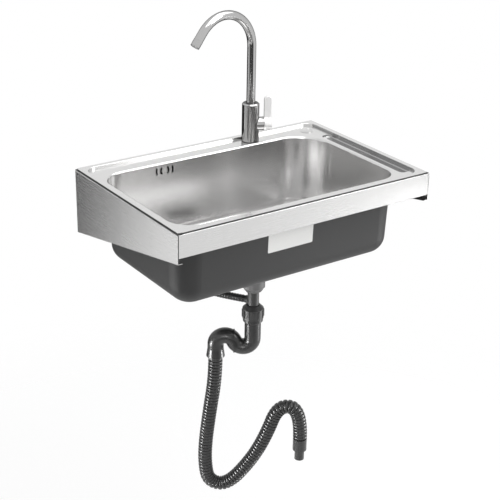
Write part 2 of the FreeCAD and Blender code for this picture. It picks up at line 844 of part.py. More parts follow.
def faucet_body():
    """Turned body with a side boss, bored for the spout, the cartridge, the shank and two inlets."""
    body = tap_part("faucet_body", D.lever_azimuth)
    zero = as_dim(0)
    axis = D.tap_gasket + D.lever_height
    pad(body, sketch(body, "XY", [(zero, zero, D.tap_body_dia / 2)], lift=D.tap_gasket), D.tap_body_height)
    pad(body, sketch(body, "YZ", [(zero, axis, D.boss_dia / 2)]), D.boss_reach)
    bore = sketch(body, "XY", [(zero, zero, D.sleeve_dia / 2 + D.fit_gap)], lift=TAP_TOP)
    pocket(body, bore, D.sleeve_length + D.fit_gap)
    passage = sketch(body, "XY", [(zero, zero, D.passage_dia / 2)], lift=TAP_TOP)
    pocket(body, passage, D.tap_body_height - D.lever_height)
    seat = sketch(body, "YZ", [(zero, axis, D.cartridge_dia / 2 + D.fit_gap * 2)], lift=D.boss_reach)
    pocket(body, seat, D.boss_reach - D.cartridge_start + D.mixing_chamber)
    mouth = sketch(body, "YZ", [(zero, axis, D.cartridge_nut_dia / 2 + D.fit_gap * 2)], lift=D.boss_reach)
    pocket(body, mouth, D.boss_reach - D.cartridge_end)
    socket = sketch(body, "XY", [(zero, zero, D.shank_dia / 2 + D.fit_gap)], lift=D.tap_gasket)
    pocket(body, socket, D.shank_depth, reverse=True)
    inlets = [[(zero, D.inlet_pitch / 2 * side, D.inlet_dia / 2)] for side in (-1, 1)]
    pocket(body, sketch(body, "XY", *inlets, lift=D.tap_gasket), D.shank_depth + D.inlet_depth, reverse=True)


def spout_retainer():
    """Chamfered ring on top of the tap body that keeps the spout's sleeve in."""
    body = tap_part("spout_retainer")
    hole = D.spout_dia / 2 + D.part_gap
    rim = D.tap_body_dia / 2
    top = TAP_TOP + D.retainer_height
    profile = [(hole, TAP_TOP), (rim, TAP_TOP), (rim, top - D.retainer_chamfer),
               (rim - D.retainer_chamfer, top), (hole, top)]
    turn(body, sketch(body, "XZ", profile))


def spout_sleeve():
    """Sleeve that turns in the tap body, with two grooves for the O-rings below the tube's seat."""
    body = tap_part("spout_sleeve", D.spout_azimuth)
    outer = D.sleeve_dia / 2
    foot = TAP_TOP - D.sleeve_length
    top = TAP_TOP - D.fit_gap
    seat = D.spout_dia / 2 + D.fit_gap
    bore = D.spout_dia / 2 - D.spout_wall
    groove = outer - D.ring_section - D.fit_gap * 2
    half = D.ring_section / 2 + D.fit_gap
    profile = [(bore, foot), (outer, foot)]
    for ring in range(2):
        low = ring_level(ring) - half
        high = ring_level(ring) + half
        profile += [(outer, low), (groove, low), (groove, high), (outer, high)]
    profile += [(outer, top), (seat, top), (seat, foot + D.sleeve_floor), (bore, foot + D.sleeve_floor)]
    turn(body, sketch(body, "XZ", profile))


def ring_level(ring):
    return TAP_TOP - D.sleeve_length + D.ring_start + D.ring_pitch * ring


def spout_o_rings():
    body = tap_part("spout_o_rings", D.spout_azimuth)
    middle = D.sleeve_dia / 2 - D.ring_section / 2
    circles = [[(middle, ring_level(ring), D.ring_section / 2)] for ring in range(2)]
    turn(body, sketch(body, "XZ", *circles))


def spout_end():
    """End of the spout's bend in its own plane: distance out and height, before the straight end."""
    out = D.spout_radius * (1 - cosine(D.spout_turn))
    up = TAP_TOP + D.spout_rise + D.spout_radius * sine(D.spout_turn)
    return out, up


def spout_tube():
    """Gooseneck: a straight riser, one long bend and a short straight end."""
    body = tap_part("spout_tube", D.spout_azimuth)
    zero = as_dim(0)
    foot = TAP_TOP - D.sleeve_length + D.sleeve_floor
    outer = D.spout_dia / 2
    profile = sketch(body, "XY", [(zero, zero, outer)], [(zero, zero, outer - D.spout_wall)], lift=foot)
    spine = sketch(body, "XZ")
    out, up = spout_end()
    run = D.spout_straight
    draw_path(spine, [(zero, foot), (zero, TAP_TOP + D.spout_rise), (out, up, -D.spout_radius),
                      (out + run * sine(D.spout_turn), up + run * cosine(D.spout_turn))])
    pipe = body.newObject("PartDesign::AdditivePipe", "spout_sweep")
    pipe.Profile = profile
    pipe.Spine = (spine, ["Edge1", "Edge2", "Edge3"])


def nozzle_part(label):
    """A body whose Z axis runs out of the end of the spout."""
    body = new_body(label)
    out, up = spout_end()
    along = out + D.spout_straight * sine(D.spout_turn)
    place(body, TAP_X + along * cosine(D.spout_azimuth), along * sine(D.spout_azimuth) - D.tap_y,
          DECK + up + D.spout_straight * cosine(D.spout_turn), D.spout_azimuth, D.spout_turn)
    return body


def aerator():
    """Sleeve on the end of the spout and the perforated insert that it holds."""
    housing = nozzle_part("aerator_housing")
    outer = D.aerator_dia / 2
    inner = outer - D.aerator_wall
    ring_pad(housing, outer, inner, as_dim(0), D.aerator_length)
    insert = nozzle_part("aerator_insert")
    zero = as_dim(0)
    holes = [[(zero, zero, D.aerator_hole / 2)]]
    for step in range(6):
        holes.append([(D.aerator_hole_ring * cosine(60 * step), D.aerator_hole_ring * sine(60 * step),
                       D.aerator_hole / 2)])
    start = D.aerator_length - D.aerator_recess - D.aerator_disc
    pad(insert, sketch(insert, "XY", [(zero, zero, inner - D.fit_gap)], *holes, lift=start), D.aerator_disc)


def valve_turn(body, profile):
    """Revolve a profile of (distance along the lever axis, radius) about that axis."""
    turn(body, sketch(body, "XZ", profile), axis="H_Axis")


def cartridge_parts():
    """Cartridge in the boss, its nut, the driver that turns in it, the pivot pin and the stem."""
    zero = as_dim(0)
    shell = D.cartridge_dia / 2
    socket = D.driver_dia / 2 + D.fit_gap * 2
    cartridge = valve_part("cartridge")
    valve_turn(cartridge, [(D.cartridge_start, zero), (D.cartridge_start, shell), (D.cartridge_end, shell),
                           (D.cartridge_end, socket), (D.socket_start, socket), (D.socket_start, zero)])
    nut = valve_part("cartridge_nut")
    thread = D.cartridge_nut_dia / 2
    hole = D.cartridge_nut_hole / 2
    valve_turn(nut, rectangle(D.cartridge_end, hole, D.cartridge_nut_end, thread))
    driver = valve_part("cartridge_driver")
    valve_turn(driver, rectangle(D.socket_start + D.part_gap, zero, D.driver_end, D.driver_dia / 2))
    slot = rectangle(D.driver_slot_start, D.driver_slot / -2, D.driver_end + D.part_gap, D.driver_slot / 2)
    pocket(driver, sketch(driver, "XY", slot), D.driver_dia * 2, middle=True)
    pivot = [(D.pivot_reach, zero, D.pin_dia / 2 + D.fit_gap)]
    pocket(driver, sketch(driver, "XZ", pivot), D.driver_dia * 2, middle=True)
    pin = valve_part("cartridge_pin")
    pad(pin, sketch(pin, "XZ", [(D.pivot_reach, zero, D.pin_dia / 2)]), D.pin_length, middle=True)
    stem = valve_part("cartridge_stem")
    valve_turn(stem, rectangle(D.stem_start, zero, D.stem_end, D.stem_dia / 2))
    pocket(stem, sketch(stem, "XZ", pivot), D.stem_dia * 2, middle=True)


def lever_handle():
    """Round cap with an upright blade; its inner face is cut back below so that the lever can tilt out."""
    body = valve_part("lever_handle")
    zero = as_dim(0)
    near = D.boss_reach + D.lever_gap
    far = near + D.lever_length
    cap = D.lever_dia / 2
    half = D.lever_length / 2
    blade = [(near, zero), (far, zero), (far, D.lever_rise - half), (near + half, D.lever_rise, half),
             (near, D.lever_rise - half, half)]
    pad(body, sketch(body, "XZ", blade), D.lever_thickness, middle=True)
    blend(body, "Fillet", D.lever_round, lambda edge: blade_edge(edge, num(cap)))
    bevel = D.lever_round
    valve_turn(body, [(near, zero), (near, cap), (far - bevel, cap), (far, cap - bevel), (far, zero)])
    bore = sketch(body, "YZ", [(zero, zero, D.stem_dia / 2 + D.fit_gap)], lift=near)
    pocket(body, bore, D.stem_end + D.fit_gap - near, reverse=True)
    reach = near - D.pivot_reach
    start = reach * tangent(D.lever_lift / 2)
    below = cap + D.lever_gap
    back = D.pivot_reach + (reach + below * sine(D.lever_lift)) / cosine(D.lever_lift)
    relief = [(near - D.lever_gap, start), (near - D.lever_gap, -below), (back, -below), (near, start)]
    pocket(body, sketch(body, "XZ", relief), D.lever_dia * 2, middle=True)
    tapped = [(grub_place(), zero, D.grub_dia / 2 + D.fit_gap)]
    pocket(body, sketch(body, "XY", tapped, lift=-cap), cap, reverse=True)
    screw = valve_part("lever_set_screw")
    shaft = sketch(screw, "XY", [(grub_place(), zero, D.grub_dia / 2)], lift=-(D.stem_dia / 2 + D.fit_gap))
    pad(screw, shaft, D.grub_length, reverse=True)


def blade_edge(edge, above):
    """Edges round the two broad faces of the blade, without the one at its foot."""
    return edge.BoundBox.ZMax > above and edge.BoundBox.YLength < TOUCH


def grub_place():
    return D.stem_end - D.grub_dia / 2 - D.lever_gap


def hole_plug():
    """Domed blanking cover on the accessory hole, with its stud and nut."""
    cover = new_body("hole_plug", PLUG_X, -D.plug_y, DECK)
    zero = as_dim(0)
    rim = D.plug_dia / 2
    stud = D.plug_stud / 2
    rise = D.plug_rise - D.plug_edge
    dome = (rim * rim + rise * rise) / (rise * 2)
    profile = [(zero, -D.plug_stud_length), (stud, -D.plug_stud_length), (stud, zero), (rim, zero),
               (rim, D.plug_edge), (zero, D.plug_rise, dome)]
    turn(cover, sketch(cover, "XZ", profile))
    nut = new_body("hole_plug_nut", PLUG_X, -D.plug_y, DECK)
    outline = sketch(nut, "XY", hexagon(zero, zero, D.plug_nut_flats), [(zero, zero, stud + D.fit_gap)],
                     lift=-D.bowl_sheet)
    pad(nut, outline, D.plug_nut_height, reverse=True)


def back_wall(drop):
    """Y of the outer face of the basin's back wall at a depth below the rim."""
    return D.bowl_sheet - D.basin_back - tangent(D.basin_draft) * (drop - D.deck_drop)


HOUSING_TOP = D.overflow_drop - D.housing_height / 2
HOUSING_FOOT = D.overflow_drop + D.housing_height / 2
SEAL_FACE = back_wall(HOUSING_TOP) + D.seal_thickness
OUTLET_Y = SEAL_FACE + D.spigot_set
OUTLET_FOOT = HOUSING_FOOT + D.spigot_length
OVERFLOW_REACH = root(D.overflow_x * D.overflow_x + (OUTLET_Y + DRAIN_Y) * (OUTLET_Y + DRAIN_Y))
OVERFLOW_AZIMUTH = math.degrees(math.atan2(num(OUTLET_Y + DRAIN_Y), -num(D.overflow_x + D.drain_x)))


def housing_outline(shrink):
    wide = D.housing_width / 2 - shrink
    return rounded(-wide, shrink - HOUSING_FOOT, wide, -HOUSING_TOP - shrink, D.housing_corner - shrink)


def overflow_parts():
    """Seal, moulded housing with its down-pipe, and the screw that holds them through the back wall."""
    seal = new_body("overflow_gasket", -D.overflow_x, z=D.rim_height)
    high = back_wall(HOUSING_TOP) + D.fit_gap
    low = back_wall(HOUSING_FOOT) + D.fit_gap
    slab = [(high, -HOUSING_TOP), (low, -HOUSING_FOOT), (SEAL_FACE, -HOUSING_FOOT), (SEAL_FACE, -HOUSING_TOP)]
    pad(seal, sketch(seal, "YZ", slab), D.housing_width, middle=True)
    window = sketch(seal, "XZ", housing_outline(D.seal_border), lift=D.basin_back)
    pocket(seal, window, D.basin_back, middle=True)
    housing = new_body("overflow_housing", -D.overflow_x, z=D.rim_height)
    zero = as_dim(0)
    hollow = D.housing_depth - D.housing_wall
    pad(housing, sketch(housing, "XZ", housing_outline(zero), lift=-SEAL_FACE), D.housing_depth, reverse=True)
    pocket(housing, sketch(housing, "XZ", housing_outline(D.housing_wall), lift=-SEAL_FACE), hollow)
    boss = sketch(housing, "XZ", [(zero, -D.overflow_drop, D.screw_boss_dia / 2)], lift=-SEAL_FACE)
    pad(housing, boss, hollow, reverse=True)
    thread = [(zero, -D.overflow_drop, D.overflow_screw_dia / 2 + D.fit_gap)]
    pocket(housing, sketch(housing, "XZ", thread, lift=-SEAL_FACE), D.overflow_screw_reach + D.housing_wall)
    pipe = D.spigot_dia / 2
    spigot = sketch(housing, "XY", [(zero, OUTLET_Y, pipe)], lift=D.housing_wall - HOUSING_FOOT)
    pad(housing, spigot, D.spigot_length + D.housing_wall, reverse=True)
    bore = sketch(housing, "XY", [(zero, OUTLET_Y, pipe - D.spigot_wall)], lift=D.housing_wall - HOUSING_FOOT)
    pocket(housing, bore, D.spigot_length + D.housing_wall)
    screw = new_body("overflow_screw", -D.overflow_x, z=D.rim_height - D.overflow_drop)
    seat = back_wall(D.overflow_drop) - D.bowl_sheet - D.part_gap
    front = seat - D.overflow_screw_head_height
    tip = SEAL_FACE + D.overflow_screw_reach
    head = D.overflow_screw_head / 2
    shaft = D.overflow_screw_dia / 2
    turn(screw, sketch(screw, "XY", [
        (zero, front), (head, front), (head, seat), (shaft, seat), (shaft, tip), (zero, tip)]))


def drain_part(label, turn_by=0):
    """A body on the axis of the drain, with depths below the rim as negative heights."""
    return new_body(label, D.drain_x, -DRAIN_Y, D.rim_height, turn_by)


CUP_FLOOR = DRAIN_SEAT + D.cup_depth
OUTLET_END = CUP_FLOOR + D.outlet_length
BASKET_FLOOR = DRAIN_SEAT + D.basket_depth


def strainer():
    """Pressed strainer cup in the drain hole, with its gasket and ribbed lock nut under the bowl."""
    cup = drain_part("strainer_body")
    rim = D.flange_dia / 2
    wall = D.cup_dia / 2
    pipe = D.outlet_dia / 2
    sheet = D.strainer_sheet
    bore = pipe - D.outlet_wall
    turn(cup, sketch(cup, "XZ", [
        (rim, sheet - DRAIN_SEAT), (rim, -DRAIN_SEAT), (wall, -DRAIN_SEAT), (wall, -CUP_FLOOR),
        (pipe, -CUP_FLOOR), (pipe, -OUTLET_END), (bore, -OUTLET_END), (bore, sheet - CUP_FLOOR),
        (wall - sheet, sheet - CUP_FLOOR), (wall - sheet, sheet - DRAIN_SEAT)]))
    under = DRAIN_SEAT + D.bowl_sheet
    gasket = drain_part("strainer_gasket")
    ring_pad(gasket, D.locknut_dia / 2, wall + D.part_gap, -under, D.washer_thickness, reverse=True)
    nut = drain_part("strainer_locknut")
    top = under + D.washer_thickness
    ring_pad(nut, D.locknut_dia / 2, wall + D.fit_gap, -top, D.locknut_height, reverse=True)
    grip_ribs(nut, D.locknut_dia / 2, top, top + D.locknut_height)


def grip_ribs(body, radius, top, foot, foot_radius=None):
    """Upright ribs round a nut, between two depths; they follow a cone when the foot has its own radius."""
    low = radius if foot_radius is None else foot_radius
    fin = [(radius - D.rib_depth, -top), (radius + D.rib_depth, -top), (low + D.rib_depth, -foot),
           (low - D.rib_depth, -foot)]
    rib = pad(body, sketch(body, "XZ", fin), D.rib_width, middle=True)
    repeat_around(body, rib, D.rib_count)


def basket():
    """Lift-out basket with a perforated floor, its post and knob, and the rubber stopper below."""
    body = drain_part("strainer_basket")
    outer = D.cup_dia / 2 - D.strainer_sheet - D.basket_gap
    sheet = D.basket_sheet
    zero = as_dim(0)
    turn(body, sketch(body, "XZ", [
        (zero, -BASKET_FLOOR), (outer, -BASKET_FLOOR), (outer, -DRAIN_SEAT), (outer - sheet, -DRAIN_SEAT),
        (outer - sheet, sheet - BASKET_FLOOR), (zero, sheet - BASKET_FLOOR)]))
    hole = sketch(body, "XY", [(D.basket_hole_ring, zero, D.basket_hole / 2)], lift=sheet - BASKET_FLOOR)
    repeat_around(body, pocket(body, hole, sheet * 2), D.basket_hole_count)
    knob = drain_part("basket_knob")
    post = D.basket_post / 2
    foot = sheet - BASKET_FLOOR
    neck = foot + D.basket_post_height
    grip = D.basket_knob_dia / 2
    turn(knob, sketch(knob, "XZ", [
        (zero, foot), (post, foot), (post, neck), (grip, neck + D.basket_knob_height / 3),
        (grip, neck + D.basket_knob_height), (zero, neck + D.basket_knob_height)]))
    stopper = drain_part("basket_stopper")
    low = D.strainer_sheet + D.part_gap - CUP_FLOOR
    neck = D.stopper_dia / 2
    lip = D.outlet_dia / 2 + D.outlet_wall
    turn(stopper, sketch(stopper, "XZ", [
        (zero, low), (lip, low), (lip, low + D.outlet_wall), (neck, -BASKET_FLOOR), (zero, -BASKET_FLOOR)]))


# Depths below the rim, each stacked on the piece above it
COLLAR_TOP = OUTLET_END + D.tail_collar
COLLAR_FOOT = COLLAR_TOP + D.tail_collar
OUTLET_NUT_TOP = OUTLET_END - D.outlet_nut_lap
OUTLET_NUT_SHOULDER = COLLAR_FOOT + D.outlet_nut_floor
OUTLET_NUT_END = OUTLET_NUT_SHOULDER + D.outlet_nut_cone
BRANCH = OUTLET_NUT_END + D.branch_clear + D.branch_dia / 2
UNION_TOP = BRANCH + D.branch_dia / 2 + D.union_clear
UNION_SHOULDER = UNION_TOP + D.union_neck
UNION_CAVITY = UNION_SHOULDER + D.union_roof
UNION_END = UNION_CAVITY + D.union_skirt
TAIL_END = UNION_CAVITY + D.tail_insert
TRAP_COLLAR_TOP = UNION_END + D.trap_collar_gap
TRAP_BEND = TRAP_COLLAR_TOP + D.trap_collar + D.trap_collar_taper + D.trap_neck
TRAP_OFFSET = D.trap_bend * 2 * (cosine(D.trap_swing) + 1)
TRAP_SEAT = TRAP_BEND + D.trap_fall
TRAP_END = TRAP_SEAT + D.trap_bell_depth


def waste_parts():
    """Seal and nut at the strainer's outlet, tailpiece with the overflow branch, union nut and its seal."""
    pipe = D.tail_dia / 2
    loose = pipe + D.part_gap
    seal = drain_part("outlet_seal")
    ring_pad(seal, D.tail_collar_dia / 2, loose, -OUTLET_END, D.tail_collar, reverse=True)
    nut = drain_part("outlet_nut")
    thread = D.outlet_dia / 2 + D.fit_gap
    outer = D.outlet_nut_dia / 2
    cone = D.outlet_cone_dia / 2
    tip = pipe + D.nut_wall
    top = -OUTLET_NUT_TOP
    shoulder = -OUTLET_NUT_SHOULDER
    end = -OUTLET_NUT_END
    turn(nut, sketch(nut, "XZ", [
        (thread, top), (outer, top), (outer, shoulder + outer - cone), (cone, shoulder), (tip, end),
        (loose, end), (loose, -COLLAR_FOOT), (thread, -COLLAR_FOOT)]))
    grip_ribs(nut, cone, OUTLET_NUT_SHOULDER, OUTLET_NUT_END, tip)
    tailpiece()
    union = drain_part("union_nut")
    socket = D.trap_socket_dia / 2 + D.fit_gap
    body = D.union_dia / 2
    end = -UNION_END
    turn(union, sketch(union, "XZ", [
        (loose, -UNION_TOP), (tip, -UNION_TOP), (body, -UNION_SHOULDER), (body, end), (socket, end),
        (socket, -UNION_CAVITY), (loose, -UNION_CAVITY)]))
    grip_ribs(union, body, UNION_SHOULDER + D.nut_wall, UNION_END - D.nut_wall)
    packing = drain_part("union_seal")
    ring_pad(packing, D.trap_socket_dia / 2 - D.part_gap, pipe + D.fit_gap, -UNION_CAVITY,
             D.union_seal_height, reverse=True)


def tailpiece():
    """Straight tube under the strainer with a collar at its top and a branch for the overflow hose."""
    body = drain_part("tee_tailpiece", OVERFLOW_AZIMUTH)
    zero = as_dim(0)
    pipe = D.tail_dia / 2
    bore = pipe - D.tail_wall
    spigot = D.spigot_dia / 2
    tube = sketch(body, "XY", [(zero, zero, pipe)], lift=-COLLAR_TOP)
    pad(body, tube, TAIL_END - COLLAR_TOP, reverse=True)
    collar = sketch(body, "XY", [(zero, zero, D.tail_collar_dia / 2)], lift=-COLLAR_TOP)
    pad(body, collar, D.tail_collar, reverse=True)
    pad(body, sketch(body, "YZ", [(zero, -BRANCH, D.branch_dia / 2)]), D.branch_root)
    pad(body, sketch(body, "YZ", [(zero, -BRANCH, spigot)]), D.branch_root + D.spigot_length)
    pocket(body, sketch(body, "XY", [(zero, zero, bore)], lift=-COLLAR_TOP), TAIL_END)
    branch = sketch(body, "YZ", [(zero, -BRANCH, spigot - D.spigot_wall)],
                    lift=D.branch_root + D.spigot_length)
    pocket(body, branch, D.branch_root + D.spigot_length)


def trap_path(start, end):
    """Centre line of the S-trap between two depths: down, round the U, over the arch and down again."""
    bend = num(D.trap_bend)
    out = num(TRAP_OFFSET)
    low = -num(TRAP_BEND)
    between = out - 2 * bend
    high = low - math.sqrt(4 * bend * bend - between * between)
    swing = math.atan2(low - high, between)
    first = V(bend, 0, low)
    second = V(out - bend, 0, high)
    joint = (first + second) * 0.5
    half = (math.pi - swing) / 2

    def spoke(centre, angle):
        return centre + V(bend * math.cos(angle), 0, bend * math.sin(angle))

    return Part.Wire([
        Part.makeLine(V(0, 0, -start), V(0, 0, low)),
        Part.Arc(V(0, 0, low), spoke(first, math.pi + half), joint).toShape(),
        Part.Arc(joint, spoke(second, math.pi - swing - half), V(out, 0, high)).toShape(),
        Part.makeLine(V(out, 0, high), V(out, 0, -end)),
    ])


def pipe_along(wire, radius):
    """Solid round bar along a wire that starts straight down."""
    start = wire.Edges[0].Vertexes[0].Point
    return wire.makePipe(Part.Face(Part.Wire(Part.makeCircle(radius, start, V(0, 0, -1)))))


def cone_between(x, top, foot, top_radius, foot_radius):
    """Upright cone or cylinder about a vertical at x, between two depths."""
    height = foot - top
    base = V(x, 0, -foot)
    if abs(top_radius - foot_radius) < 1e-9:
        return Part.makeCylinder(top_radius, height, base)
    return Part.makeCone(foot_radius, top_radius, height, base)


def trap_bends():
    """The two mouldings of the S-trap, split by an upright plane with a raised seam on each side of it."""
    top = num(UNION_CAVITY + D.union_seal_height)
    end = num(TRAP_END)
    outer = num(D.trap_dia) / 2
    bore = outer - num(D.trap_wall)
    out = num(TRAP_OFFSET)
    bell = num(D.trap_bell_dia) / 2
    collar = num(D.trap_collar_dia) / 2
    collar_top = num(TRAP_COLLAR_TOP)
    collar_foot = collar_top + num(D.trap_collar)
    bell_top = num(TRAP_SEAT)
    taper = num(D.trap_bell_taper)
    middle = out / 2
    span = 2 * (out + end)
    seam = Part.makeBox(2 * num(D.trap_seam), span, span, V(middle - num(D.trap_seam), -span / 2, -span))
    ridge = pipe_along(trap_path(top, end), outer + num(D.trap_seam_proud)).common(seam)
    solid = pipe_along(trap_path(top, end), outer).multiFuse([
        ridge,
        cone_between(0, top, collar_top, num(D.trap_socket_dia) / 2, num(D.trap_socket_dia) / 2),
        cone_between(0, collar_top, collar_foot, collar, collar),
        cone_between(0, collar_foot, collar_foot + num(D.trap_collar_taper), collar, outer),
        cone_between(out, bell_top - taper, end - num(D.trap_wall), outer, bell),
        cone_between(out, end - num(D.trap_wall), end, bell, bell - num(D.trap_wall)),
    ])
    hose = num(D.hose_crest) / 2 + num(D.part_gap)
    past = num(D.trap_wall)
    mouth = cone_between(out, bell_top, end + past, hose, hose)
    solid = solid.cut(pipe_along(trap_path(top - past, end + past), bore).fuse(mouth))
    for label, low in (("trap_inlet_bend", middle - span), ("trap_outlet_bend", middle)):
        half = Part.makeBox(span, 2 * span, 2 * span, V(low, -span, -span))
        shape_part(label, solid.common(half).removeSplitter(), D.trap_azimuth)


def shape_part(label, shape, turn_by):
    """A piece on the drain's axis whose shape is worked out in its own upright plane."""
    piece = DOC.addObject("Part::Feature", label)
    piece.Label = label
    piece.Shape = shape
    place(piece, D.drain_x, -DRAIN_Y, D.rim_height, turn_by)
    NODES.append(piece)


def route_edges(route):
    """Straight runs joined by tangent arcs, each as large as its two runs allow; also the arcs' radii."""
    corners = [V(out, 0, height) for out, height in route]
    edges = []
    radii = []
    reached = corners[0]
    for before, corner, after in zip(corners, corners[1:], corners[2:]):
        arriving = (corner - before).normalize()
        leaving = (after - corner).normalize()
        half = arriving.getAngle(leaving) / 2
        cut = ARC_SHARE * min((corner - before).Length, (after - corner).Length)
        radius = cut / math.tan(half)
        first = corner - arriving * cut
        last = corner + leaving * cut
        inside = (leaving - arriving).normalize()
        crown = corner + inside * (radius / math.cos(half) - radius)
        edges.append(Part.makeLine(reached, first))
        edges.append(Part.Arc(first, crown, last).toShape())
        radii.append(round(radius, 1))
        reached = last
    edges.append(Part.makeLine(reached, corners[-1]))
    return edges, radii


def point_along(edges, distance):
    """Point and direction at a distance along a chain of edges."""
    for edge in edges:
        if distance <= edge.Length or edge is edges[-1]:
            place_on = edge.getParameterByLength(min(max(distance, 0.0), edge.Length))
            return edge.valueAt(place_on), edge.tangentAt(place_on)
        distance -= edge.Length


def ring_wire(edges, distance, radius):
    """Circle square to the route, with its X axis square to the route's plane."""
    centre, ahead = point_along(edges, distance)
    across = V(0, 1, 0)
    spin = FreeCAD.Rotation(across, ahead.cross(across), ahead, "ZXY")
    wire = Part.Wire(Part.makeCircle(radius))
    wire.Placement = FreeCAD.Placement(centre, spin)
    return wire


def least_gap(edges, length, dia):
    """Least clear distance between stretches of a tube that are over two diameters apart along it."""
    step = dia / 3
    points = [point_along(edges, step * index)[0] for index in range(int(length / step) + 1)]
    apart = int(math.pi * dia / step)
    gaps = [(a - b).Length - dia for index, a in enumerate(points) for b in points[index + apart:]]
    return min(gaps)


def ribbed_hose(label, route, crest, root_dia, bore, pitch, turn_by):
    """Corrugated hose: a ruled loft through four circles a rib, with a smooth bore along the same route."""
    edges, radii = route_edges(route)
    length = sum(edge.Length for edge in edges)
    high = num(crest) / 2
    low = num(root_dia) / 2
    count = int(length / num(pitch))
    step = length / count
    rings = []
    for rib in range(count):
        for share, crested in RIB_CIRCLES:
            rings.append(ring_wire(edges, step * (rib + share), high if crested else low))
    rings.append(ring_wire(edges, length, low))
    outer = Part.makeLoft(rings, True, True)
    ends = [point_along(edges, distance) for distance in (0.0, length)]
    first = Part.makeLine(ends[0][0] - ends[0][1], ends[0][0])
    last = Part.makeLine(ends[1][0], ends[1][0] + ends[1][1])
    path = Part.Wire([first] + edges + [last])
    start, ahead = ends[0]
    disc = Part.Face(Part.Wire(Part.makeCircle(num(bore) / 2, start - ahead, ahead)))
    hose = outer.cut(path.makePipe(disc))
    shape_part(label, hose, turn_by)
    gap = least_gap(edges, length, num(crest))
    print(label, "length", round(length, 1), "ribs", count, "radii", radii, "least self gap", round(gap, 1))


def hoses():
    """Drain hose on the trap's outlet with its end fitting, and the hose between overflow and tailpiece."""
    outlet = num(TRAP_OFFSET)
    seat = -num(TRAP_SEAT)
    drop_route = [(outlet + out, seat + height) for out, height in HOSE_ROUTE]
    ribbed_hose("drain_hose", drop_route, D.hose_crest, D.hose_root, D.hose_bore, D.hose_pitch,
                D.trap_azimuth)
    end_out = TRAP_OFFSET + HOSE_ROUTE[-1][0]
    azimuth = D.trap_azimuth
    fitting = new_body("hose_end_fitting", D.drain_x + end_out * cosine(azimuth),
                       end_out * sine(azimuth) - DRAIN_Y,
                       D.rim_height - TRAP_SEAT + HOSE_ROUTE[-1][1], azimuth)
    bore = D.fitting_bore / 2
    spigot = D.fitting_spigot / 2
    cuff = D.fitting_dia / 2
    tail = D.fitting_tail_dia / 2
    zero = as_dim(0)
    inside = D.fitting_spigot_length
    foot = -D.fitting_cuff
    end = foot - D.fitting_tail
    turn(fitting, sketch(fitting, "XZ", [
        (bore, inside), (spigot, inside), (spigot, zero), (cuff, zero), (cuff, foot),
        (tail, foot - (cuff - tail) / 2), (tail, end), (bore, end)]))
    reach = num(OVERFLOW_REACH)
    branch = -num(BRANCH)
    root_end = num(D.branch_root)
    lead = num(D.overflow_hose_lead)
    top = -num(HOUSING_FOOT)
    route = [(root_end, branch), (root_end + lead, branch)]
    route += [(reach - short, branch + up) for short, up in OVERFLOW_ROUTE]
    middle = (branch + OVERFLOW_ROUTE[-1][1] + top) / 2
    route += [(reach, middle), (reach, top)]
    ribbed_hose("overflow_hose", route, D.overflow_hose_crest, D.overflow_hose_root, D.overflow_hose_bore,
                D.overflow_hose_pitch, OVERFLOW_AZIMUTH)


def build():
    """Make every piece, in the order in which the object goes together."""
    side_panel("side_panel_left", -1)
    side_panel("side_panel_right", 1)
    front_apron()
    apron_nuts()
    rim_gasket()
    sink_bowl()
    bowl_undercoat()
    hole_plug()
    overflow_parts()
    faucet_mounting()
    faucet_body()
    spout_retainer()
    spout_sleeve()
    spout_o_rings()
    spout_tube()
    aerator()
    cartridge_parts()
    lever_handle()
    strainer()
    basket()
    waste_parts()
    trap_bends()
    hoses()


def check():
    """Stop if a feature failed, a cut removed nothing, or a piece has no valid solid."""
    DOC.recompute()
    failed = [item.Name for item in DOC.Objects if {"Invalid", "Error"} & set(item.State)]
    if failed:
        raise RuntimeError("failed features: " + ", ".join(failed))
    for item in DOC.Objects:
        if item.TypeId in ("PartDesign::Pocket", "PartDesign::Groove"):
            if item.Shape.Volume > item.BaseFeature.Shape.Volume - 1e-3:
                raise RuntimeError(item.Name + " cuts nothing")
    for node in NODES:
        shape = node.Shape
        if shape.isNull() or not shape.isValid() or not shape.Solids:
            raise RuntimeError(node.Label + " has no valid solid")


def write():
    """One STEP file for each piece, named after its label."""
    os.makedirs("parts", exist_ok=True)
    for node in NODES:
        node.Shape.exportStep(f"parts/{node.Label}.step")


build()
check()
write()
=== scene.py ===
import json
import math

import bpy
from mathutils import Matrix, Vector


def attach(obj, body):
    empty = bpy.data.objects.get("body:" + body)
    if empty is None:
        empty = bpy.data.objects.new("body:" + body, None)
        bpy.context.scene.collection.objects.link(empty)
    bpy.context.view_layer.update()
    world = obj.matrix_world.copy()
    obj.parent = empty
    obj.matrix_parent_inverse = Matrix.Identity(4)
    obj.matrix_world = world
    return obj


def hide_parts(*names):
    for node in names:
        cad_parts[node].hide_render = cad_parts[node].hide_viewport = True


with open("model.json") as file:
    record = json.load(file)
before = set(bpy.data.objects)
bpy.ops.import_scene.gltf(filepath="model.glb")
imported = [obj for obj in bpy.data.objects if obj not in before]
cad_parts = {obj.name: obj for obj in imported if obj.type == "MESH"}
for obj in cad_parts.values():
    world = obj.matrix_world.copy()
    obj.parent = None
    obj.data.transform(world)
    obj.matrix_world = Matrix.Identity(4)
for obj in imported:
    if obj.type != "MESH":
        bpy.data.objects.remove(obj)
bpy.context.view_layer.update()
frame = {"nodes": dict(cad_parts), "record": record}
NODES = frame["nodes"]
SCENE = bpy.context.scene
SCENE.view_settings.view_transform = "Standard"

